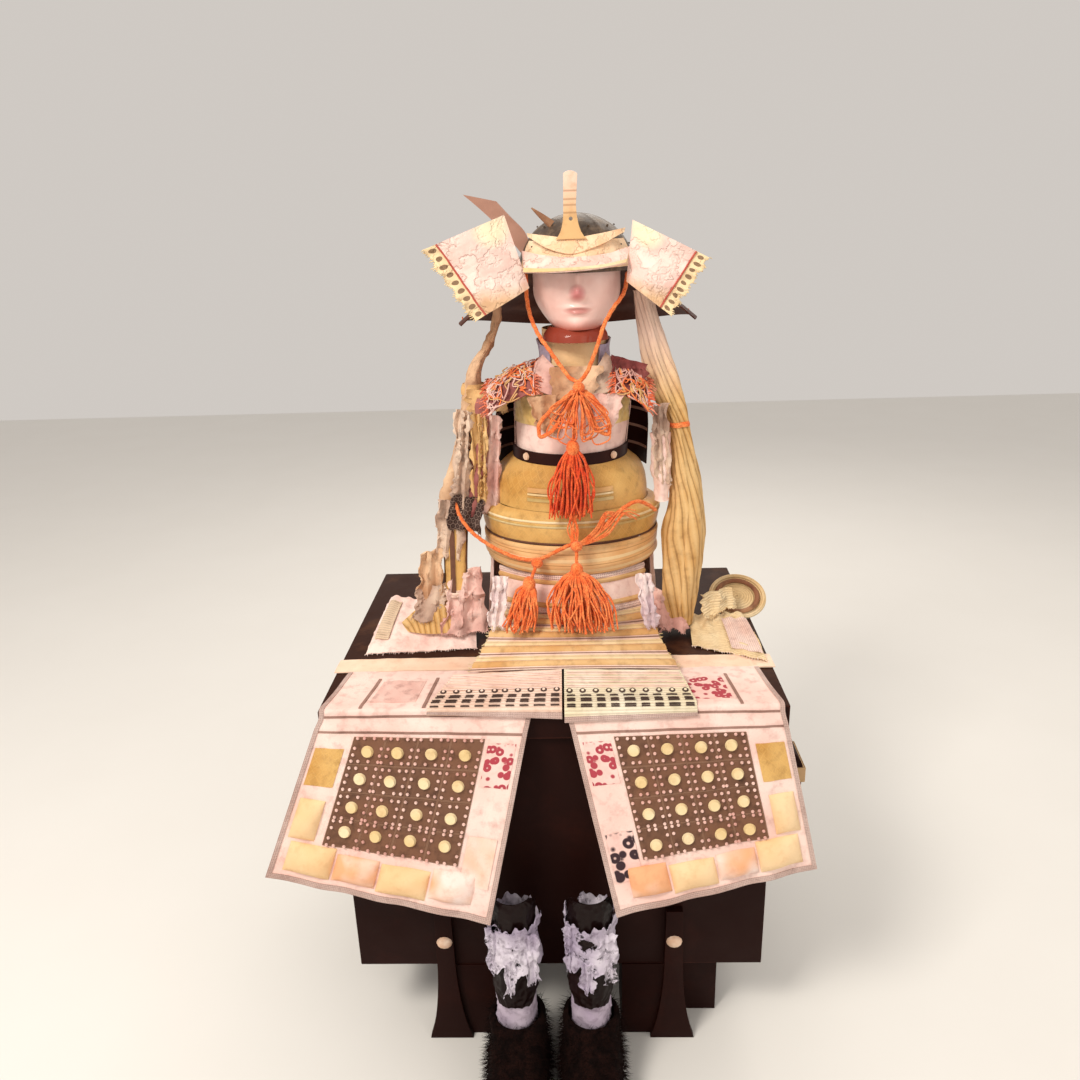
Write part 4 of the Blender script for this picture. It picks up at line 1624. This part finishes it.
def make_hands(settings):
    for side, corners, pleats, finish, slot in (
        ("left", [[-338, 236, 760], [-160, 214, 752], [-146, 66, 723.3], [-356, 48, 723.3]], 7, PINK, "pink_cloth"),
        ("right", [[265.4, 160, 742], [374, 168, 742], [388, -12, 727], [262, 62, 723.6]], 5, TAN_PALE, "tan_cloth"),
    ):
        back_out, back_in, front_in, front_out = (np.array(c, float) for c in corners)
        rows = []
        for v in np.linspace(0, 1, 12):
            row = []
            for j, u in enumerate(np.linspace(0, 1, 2 * pleats + 1)):
                rise = (5 if j % 2 else 0) * lerp(1, 0.4, v) + 5 * math.sin(math.pi * v)
                row.append(lerp(lerp(back_out, back_in, u), lerp(front_out, front_in, u), v) + [0, 0, rise])
            rows.append(row)
        grid = fine_grid(rows, 3.5)
        cloth("hand_panel_cloth_" + side, grid, 1.5, finish, slot, "hand_panel_" + side, "laid", ("chest_lid",),
              outward=UP, raised=crumple(grid, 30, 2.2, 60, True) + crumple(grid, 60, 2.0, 61))
        edge = patch(grid, 0.04, 0.17, 0.12, 0.8, 2.6) if side == "left" else patch(grid, 0.55, 0.97, 0.2, 0.9, 2.6)
        cloth("hand_panel_stripes_" + side, edge, 1.0, STRIPED_EDGE if side == "left" else LACE, slot, None, "stretched", outward=UP)
        fray("hand_panel_fray_" + side, grid[-1], grid[-6], LACE, slot, 41)
    fold = [
        [[-296, 118, 756], [-256, 126, 788], [-218, 130, 808], [-192, 132, 803.2]],
        [[-290, 110, 750], [-252, 106, 770], [-218, 104, 782], [-190, 106, 776]],
        [[-282, 104, 742], [-248, 92, 743], [-216, 88, 744.6], [-188, 90, 747]],
    ]
    grid = fine_grid(fold, 3)
    cloth("hand_fold_cloth", grid, 1.6, TAN, "tan_cloth", "hand_fold_left", "folded", ("hand_panel_left",),
          outward=FRONT_UP, raised=creases(grid, [(0.1, 0.2, 0.9, 0.4, 6, 2.0), (0.2, 0.7, 0.9, 0.75, 6, -2.0)]))
    for name, corners, finish, slot, depth in SCRAPS:
        scrap(name, corners, finish, slot, depth)
    plate_rows = []
    turn = np.radians(np.arange(0, 360, 6))
    tilt = np.array(Matrix.Rotation(math.radians(30), 3, "X"))
    for r, z in ((0.02, 5), (0.3, 5.6), (0.45, 3.2), (0.84, 3.2), (0.88, 7.5), (0.93, 8.6), (0.98, 7.2), (1.0, 2.5)):
        ring = np.stack([58 * r * np.cos(turn), 56 * r * np.sin(turn), np.full_like(turn, z)], axis=1)
        plate_rows.append(ring @ tilt.T + [374, 226, 749.2])
    band = []
    for r, z in ((0.6, 3.4), (0.64, 6.0), (0.74, 6.6), (0.78, 3.4)):
        ring = np.stack([58 * r * np.cos(turn), 56 * r * np.sin(turn), np.full_like(turn, z)], axis=1)
        band.append(ring @ tilt.T + [374, 226, 751])
    cloth("hand_plate_ring", fine_grid(band, 3, closed=True), 1.0, LEATHER, "tan_cloth", None, "stretched",
          closed=True, outward=np.array([0.0, -0.5, 0.87]))
    grid = fine_grid(plate_rows, 3, closed=True)
    cloth("hand_plate_leather", grid, 2.0, TAN_PALE, "tan_cloth", "hand_plate_right", "laid", closed=True,
          outward=np.array([0.0, -0.5, 0.87]))


# Legs


def make_legs(settings):
    for side, x, y in (("left", -77, -222), ("right", 57, -222)):
        axis = lambda g: (g - metres([x, y, 0])) * [1, 1, 0]
        rows = []
        for z, half, wide in ((402, 36, 60), (388, 39, 86), (350, 40, 100), (290, 40, 102), (235, 40, 98), (204, 41.5, 84), (181, 42, 46)):
            a = np.radians(np.linspace(-wide, wide, 21))
            rows.append(np.stack([x + half * np.sin(a), y - half * np.cos(a), np.full_like(a, z)], axis=1))
        grid = fine_grid(rows, 4)
        s, t = cut_places(grid)
        ridges = sum(np.exp(-((s - k) / 0.03) ** 2) for k in (0.14, 0.32, 0.5, 0.68, 0.86)) * 1.6 * MM
        ridges += crumple(grid, 22, 1.6, 8, True)
        fit(shell("shin_shell_" + side, grid, 2.2, SHIN, outward=axis, raised=ridges), "dark_plate", "shin_guard_" + side)
        turn = np.radians(np.arange(0, 360, 7.5))
        rows = []
        for i, (z, half, wave) in enumerate(((350, 47, 0.07), (320, 43, 0), (292, 44, 0.02), (270, 48, 0.07))):
            r = half * (1 + wave * np.sin(5 * turn))
            jag = (7 * np.sin(6 * turn) + 7 * np.abs(np.sin(8.5 * turn)) + 4 * np.sin(17 * turn)) * ((i == 0) - (i == 3))
            rows.append(np.stack([x + r * np.sin(turn), y - r * np.cos(turn), z + jag], axis=1))
        grid = fine_grid(rows, 3.5, closed=True)
        cloth("knee_tie_" + side, grid, 1.4, TORN, "lilac_cloth", "knee_cloth_" + side, "gathered", ("shin_guard_" + side,),
              closed=True, outward=from_middle, raised=creases(grid, slanting(30, 270 + x, 5, 3.4, 0.3), True) + crumple(grid, 16, 2.2, 5, True))
        rows = []
        for z, half, wave in ((196, 35.8, 0), (150, 36, 0.04), (12.4, 36, 0)):
            r = half * (1 + wave * np.sin(4 * turn))
            rows.append(np.stack([x + r * np.sin(turn), y - r * np.cos(turn), np.full_like(turn, z)], axis=1))
        grid = fine_grid(rows, 4, closed=True)
        cloth("ankle_cloth_" + side, grid, 1.4, LILAC, "lilac_cloth", "ankle_wrap_" + side, "gathered", ("boot_" + side,),
              closed=True, outward=from_middle, raised=creases(grid, slanting(28, 290 + x, 6, 3.0, 0.12), True) + crumple(grid, 16, 1.4, 6, True))
        for n, (dx, top, low, wide) in enumerate(((-34, 352, 262, 24), (30, 340, 236, 30), (-6, 286, 226, 22))):
            front = y - math.sqrt(48 ** 2 - dx ** 2)
            scrap(f"leg_tatter_{side}_{n}", [[x + dx - wide / 2, front, top], [x + dx + wide / 2, front, top],
                  [x + dx + wide * 0.4, front + 2, low], [x + dx - wide * 0.3, front + 2, low - 8]], TORN, "lilac_cloth", 3)
        boot(side, x, y, turn, settings)


def boot(side, x, y, turn, settings):
    rows = []
    for z, front, back, half in ((134, 42, 42, 42), (133, 49, 48, 47), (104, 96, 51, 50), (78, 182, 53, 52), (50, 229, 55, 56), (22, 237, 56, 56), (4, 233, 53, 53)):
        depth = np.where(np.cos(turn) > 0, front, back)
        rows.append(np.stack([x + half * np.sin(turn), y - depth * np.cos(turn), np.full_like(turn, z)], axis=1))
    grid = fine_grid(rows, 6, closed=True)
    piece = fit(shell("boot_skin_" + side, grid, 4.0, FUR, True, from_middle), "fur", "boot_" + side)
    fur = grown("boot_fur_" + side, piece.data.copy(), PELT, {
        "Density": 42000.0, "Length": settings.fur_length * 2, "Thickness": 0.5 * MM, "Seed": 5,
        "Finish": FUR,
    })
    fit(fur, "fur")


# Cords and tassels

CORDS = {
    "chin_cord": [
        [-31, 146, 1402.4], [-31, 140, 1368], [-26, 128, 1335], [-12, 112, 1302], [8, 100, 1274],
        [28, 87, 1247], [44, 76, 1229], [56, 71.5, 1224.5], [67, 76, 1234], [80, 86, 1258],
        [92, 94, 1288], [102, 102, 1316], [118, 112, 1342], [137, 128, 1366], [145, 146.5, 1400.4],
    ],
    "chest_bow": [
        [47.4, 66, 1210.5], [29, 62, 1196], [4, 54, 1176], [-14, 56, 1152], [-12, 56, 1134], [8, 58, 1142],
        [26, 64, 1168], [42, 70, 1192], [54, 73, 1200], [66, 70, 1192], [78, 60, 1168], [92, 58, 1140],
        [106, 60, 1134], [108, 60, 1152], [94, 62, 1178], [81, 64, 1198], [64.6, 66, 1210.5],
    ],
    "waist_cord": [
        [-178.9, 134, 998.7], [-170.3, 126, 970.2], [-152.6, 118, 944.5], [-125.1, 108, 923.3], [-92.6, 94, 908.1],
        [-57.8, 80.4, 898.4], [-22.8, 64.6, 902.2], [11.8, 53, 921.9], [38, 48, 935.8], [58.1, 49, 939.5],
        [82.3, 56, 952.5], [108.5, 66, 974], [134.7, 78, 994.2], [158.6, 90, 1001.5], [180.5, 104, 990.1],
        [196.6, 118, 974.1],
    ],
}


def rope(name, line, diameter, finish, twist=16.0):
    """A cord of three strands laid round each other, along a line of points in metres."""
    at = np.concatenate([[0], np.cumsum(np.linalg.norm(np.diff(line, axis=0), axis=1))])
    along = np.gradient(line, at, axis=0)
    along /= np.linalg.norm(along, axis=1, keepdims=True)
    side = np.cross(along, [0.0, 0.9, 0.43])
    side /= np.linalg.norm(side, axis=1, keepdims=True)
    other = np.cross(along, side)
    a = np.linspace(0, TAU, 12, endpoint=False)
    turn = at[:, None] / (twist * MM) * TAU / 3
    r = diameter * MM / 2 * (1 + 0.13 * np.cos(3 * (a + turn)))
    ends = np.minimum(1, 0.35 + np.minimum(at, at[-1] - at) / (2 * MM))[:, None]
    grid = line[:, None] + (side[:, None] * np.cos(a)[:, None] + other[:, None] * np.sin(a)[:, None]) * (r * ends)[..., None]
    return shell(name, grid, 1.5, finish, True, lambda g: g - line[:, None])


def make_cords(settings):
    for node, points in CORDS.items():
        line = smooth(metres(points), 2.5)
        piece = rope(node + "_braid", line, 7, YARN)
        fit(piece, "yarn", node)
    tassel("tassel_chest", [56, 62.6, 1216.4], [44, 56, 1112], [38, 50, 982], 40, 62)
    tassel("tassel_waist", [47, 34.4, 936.9], [47, 26, 894], [58, -20, 796], 62, 96)
    tassel("tassel_small", [-25, 51.4, 900], [-40, 34, 866], [-60, -12, 790], 29, 40)
    loose_yarn()


def ball(name, at, radius, tall, finish, node=None):
    """A wound knot of yarn."""
    a = np.radians(np.arange(0, 360, 15))
    rows = []
    for up in np.linspace(-88, 88, 15):
        c, s = math.cos(math.radians(up)), math.sin(math.radians(up))
        r = radius * c * (1 + 0.06 * np.sin(8 * a + 4 * s))
        rows.append(np.stack([at[0] + r * np.sin(a), at[1] - r * np.cos(a), np.full_like(a, at[2] - radius * tall * s)], axis=1))
    grid = metres(rows)
    return fit(shell(name, grid, 1.0, finish, True, lambda g: g - metres(at)), "yarn", *([node] if node else []))


def tassel(name, knot, head, end, radius, count):
    knot, head, end = (np.array(p, float) for p in (knot, head, end))
    ball(name + "_knot", knot, 10.5, 0.9, YARN, name)
    line = smooth(metres([knot, (knot + head) / 2 + [0, -1, 0], head]), 2.5)
    fit(rope(name + "_neck", line, 6, YARN), "yarn")
    ball(name + "_head", head, 11.5, 1.3, YARN)
    draw = np.random.default_rng(int(radius))
    lines = []
    drop = end - head
    for k in range(count):
        a = k * 2.399963
        at = math.sqrt((k + 0.5) / count)
        out = np.array([math.cos(a), 0.36 * math.sin(a), 0])
        reach = draw.uniform(0.86, 1.0) if at > 0.5 else draw.uniform(0.92, 1.02)
        sway = draw.normal(size=3) * [4.5, 1.5, 0]
        points = [head + out * 6 * at]
        for t in (0.2, 0.36, 0.52, 0.68, 0.84, 1.0):
            swell = radius * at * min(1.0, 0.35 + 1.1 * t)
            points.append(head + drop * reach * t + out * swell + sway * math.sin(7 * t + k) + [0, draw.normal() * 1.2, 0])
        lines.append(smooth(metres(points), 7))
    strands(name + "_strands", lines, 2.2, YARN if name != "tassel_chest" else YARN_RED, "yarn", sides=5, taper=0.7)


def loose_yarn():
    """Thin looped yarn about the chest bow and along the waist cord."""
    draw = np.random.default_rng(77)
    lines = []
    knot = np.array([56, 60, 1212.0])
    for k in range(26):
        side = -1 if k % 2 else 1
        wide, deep = draw.uniform(14, 58) * side, draw.uniform(30, 92)
        front = draw.uniform(-7, 4)
        lines.append(smooth(metres([
            knot + [side * 2, front, draw.uniform(-6, 6)], knot + [wide * 0.6, front - 4, -deep * 0.45],
            knot + [wide, front - 2, -deep], knot + [wide * 0.7 - 6 * side, front - 5, -deep - 7],
            knot + [wide * 0.3, front - 6, -deep * 0.55], knot + [side, front - 2, -8],
        ]), 4))
    centre = np.array([40, 38, 935.0])
    for k in range(12):
        sag = draw.uniform(4, 20)
        reach = draw.uniform(0.55, 1.0)
        lines.append(smooth(metres([
            centre, centre + [34 * reach, 12 * reach, 12 - sag * 0.5], centre + [74 * reach, 24 * reach, 34 - sag],
            centre + [112 * reach, 42 * reach, 60 - sag * 0.6], centre + [136 * reach, 55 * reach, 58 - sag * 1.3],
        ]), 4))
    for k in range(12):
        lines.append(smooth(metres([
            [44 + draw.normal() * 4, 47, 992], [42 + draw.normal() * 6, 44, 968], [44 + draw.normal() * 4, 38, 936],
        ]), 4))
    strands("loose_yarn", lines, 1.5, YARN, "yarn", sides=5, taper=0.8)


# Camera, light and floor

CAMERA = {"place": (0.06384, -1.48662, 1.494), "lens": 30.205, "yaw": 2.088, "pitch": 19.6445, "roll": 1.8751}


def make_stage(settings):
    yaw, pitch, roll = (math.radians(CAMERA[k]) for k in ("yaw", "pitch", "roll"))
    ahead = Vector((-math.sin(yaw) * math.cos(pitch), math.cos(yaw) * math.cos(pitch), -math.sin(pitch)))
    level = Vector((math.cos(yaw), math.sin(yaw), 0))
    upright = level.cross(ahead)
    right = math.cos(roll) * level - math.sin(roll) * upright
    up = math.sin(roll) * level + math.cos(roll) * upright
    turn = Matrix((right, up, -ahead)).transposed().to_4x4()
    lens = bpy.data.cameras.new("view")
    lens.sensor_width = 36
    lens.lens = CAMERA["lens"]
    camera = bpy.data.objects.new("view", lens)
    camera.matrix_world = Matrix.Translation(CAMERA["place"]) @ turn
    scene = bpy.context.scene
    scene.collection.objects.link(camera)
    scene.camera = camera
    scene.view_settings.view_transform = "Standard"

    mesh = bpy.data.meshes.new("floor")
    mesh.from_pydata([(-6, -4, -0.001), (6, -4, -0.001), (6, 6, -0.001), (-6, 6, -0.001)], [], [(0, 1, 2, 3)])
    linked("floor", mesh, FLOOR)
    for name, place, size, power in (
        ("key", (-1.6, -2.0, 3.5), 1.1, 108), ("fill", (2.4, -2.0, 2.2), 2.4, 22), ("rear", (0.6, 2.6, 3.0), 2.2, 40),
    ):
        light = bpy.data.lights.new(name, "AREA")
        light.color = (1.0, 0.93, 0.84)
        light.size = size
        light.energy = power * settings.light
        lamp = bpy.data.objects.new(name, light)
        lamp.location = place
        lamp.rotation_euler = (Vector((0.03, 0, 0.8)) - Vector(place)).to_track_quat("-Z", "Y").to_euler()
        scene.collection.objects.link(lamp)
    world = bpy.data.worlds.new("studio")
    world.use_nodes = True
    sky = world.node_tree.nodes["Background"]
    sky.inputs["Color"].default_value = tint("f6efe8")
    sky.inputs["Strength"].default_value = 0.68
    scene.world = world


# The add-on


class ArmourSettings(bpy.types.PropertyGroup):
    """Choices for the armour's looks."""

    fur_length: bpy.props.FloatProperty(
        name="Fur length", description="Length of the boots' hair", default=0.009, subtype="DISTANCE", unit="LENGTH"
    )
    light: bpy.props.FloatProperty(
        name="Light", description="Strength of the studio lamps", default=1.0, subtype="FACTOR"
    )
    ribbed: bpy.props.BoolProperty(
        name="Ribbed thigh guards", description="Ribbed cloth instead of plain cloth on the thigh guards", default=False
    )


class ARMOUR_OT_chest(bpy.types.Operator):
    """Make the lacquered chest, its lid, legs and brackets"""

    bl_idname = "armour.chest"
    bl_label = "Chest"

    def execute(self, context):
        make_chest(context.scene.armour)
        return {"FINISHED"}


class ARMOUR_OT_stand(bpy.types.Operator):
    """Make the wooden stand and its neck sleeve"""

    bl_idname = "armour.stand"
    bl_label = "Stand"

    def execute(self, context):
        make_stand(context.scene.armour)
        return {"FINISHED"}


class ARMOUR_OT_helmet(bpy.types.Operator):
    """Make the helmet: dome, crest, brow plate, visor, turned-back plates and neck guard"""

    bl_idname = "armour.helmet"
    bl_label = "Helmet"

    def execute(self, context):
        make_helmet(context.scene.armour)
        return {"FINISHED"}


class ARMOUR_OT_mask(bpy.types.Operator):
    """Make the face mask and throat guard"""

    bl_idname = "armour.mask"
    bl_label = "Mask"

    def execute(self, context):
        make_mask(context.scene.armour)
        return {"FINISHED"}


class ARMOUR_OT_cuirass(bpy.types.Operator):
    """Make the cuirass: breast cloth, belt, brocades, waist band, back plate, shoulders and collar"""

    bl_idname = "armour.cuirass"
    bl_label = "Cuirass"

    def execute(self, context):
        make_cuirass(context.scene.armour)
        return {"FINISHED"}


class ARMOUR_OT_skirt(bpy.types.Operator):
    """Make the skirt, its bands and the tassets"""

    bl_idname = "armour.skirt"
    bl_label = "Skirt"

    def execute(self, context):
        make_skirt(context.scene.armour)
        return {"FINISHED"}


class ARMOUR_OT_aprons(bpy.types.Operator):
    """Make the thigh guards with their panels and the tie across the lid"""

    bl_idname = "armour.aprons"
    bl_label = "Thigh guards"

    def execute(self, context):
        make_aprons(context.scene.armour)
        return {"FINISHED"}


class ARMOUR_OT_sleeves(bpy.types.Operator):
    """Make the sleeves and the forearm splints"""

    bl_idname = "armour.sleeves"
    bl_label = "Sleeves"

    def execute(self, context):
        make_sleeves(context.scene.armour)
        return {"FINISHED"}


class ARMOUR_OT_hands(bpy.types.Operator):
    """Make the hand pieces that lie on the lid"""

    bl_idname = "armour.hands"
    bl_label = "Hand pieces"

    def execute(self, context):
        make_hands(context.scene.armour)
        return {"FINISHED"}


class ARMOUR_OT_legs(bpy.types.Operator):
    """Make the shin guards, knee cloths, ankle wraps and fur boots"""

    bl_idname = "armour.legs"
    bl_label = "Legs"

    def execute(self, context):
        make_legs(context.scene.armour)
        return {"FINISHED"}


class ARMOUR_OT_cords(bpy.types.Operator):
    """Make the cords and tassels"""

    bl_idname = "armour.cords"
    bl_label = "Cords and tassels"

    def execute(self, context):
        make_cords(context.scene.armour)
        return {"FINISHED"}


class ARMOUR_OT_stage(bpy.types.Operator):
    """Set up the camera, the lamps and the floor"""

    bl_idname = "armour.stage"
    bl_label = "Camera and light"

    def execute(self, context):
        make_stage(context.scene.armour)
        return {"FINISHED"}


OPERATORS = (
    ARMOUR_OT_chest, ARMOUR_OT_stand, ARMOUR_OT_helmet, ARMOUR_OT_mask, ARMOUR_OT_cuirass, ARMOUR_OT_skirt,
    ARMOUR_OT_aprons, ARMOUR_OT_sleeves, ARMOUR_OT_hands, ARMOUR_OT_legs, ARMOUR_OT_cords, ARMOUR_OT_stage,
)


class ARMOUR_PT_panel(bpy.types.Panel):
    """Lists the armour's pieces in the sidebar."""

    bl_idname = "ARMOUR_PT_panel"
    bl_label = "Armour"
    bl_space_type = "VIEW_3D"
    bl_region_type = "UI"
    bl_category = "Armour"

    def draw(self, context):
        for name in ("fur_length", "light", "ribbed"):
            self.layout.prop(context.scene.armour, name)
        for operator in OPERATORS:
            self.layout.operator(operator.bl_idname)


def register():
    for kind in (ArmourSettings, *OPERATORS, ARMOUR_PT_panel):
        bpy.utils.register_class(kind)
    bpy.types.Scene.armour = bpy.props.PointerProperty(type=ArmourSettings)


def unregister():
    del bpy.types.Scene.armour
    for kind in reversed((ArmourSettings, *OPERATORS, ARMOUR_PT_panel)):
        bpy.utils.unregister_class(kind)


def main():
    register()
    for operator in OPERATORS:
        group, name = operator.bl_idname.split(".")
        getattr(getattr(bpy.ops, group), name)()
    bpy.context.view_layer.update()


if __name__ == "__main__":
    main()
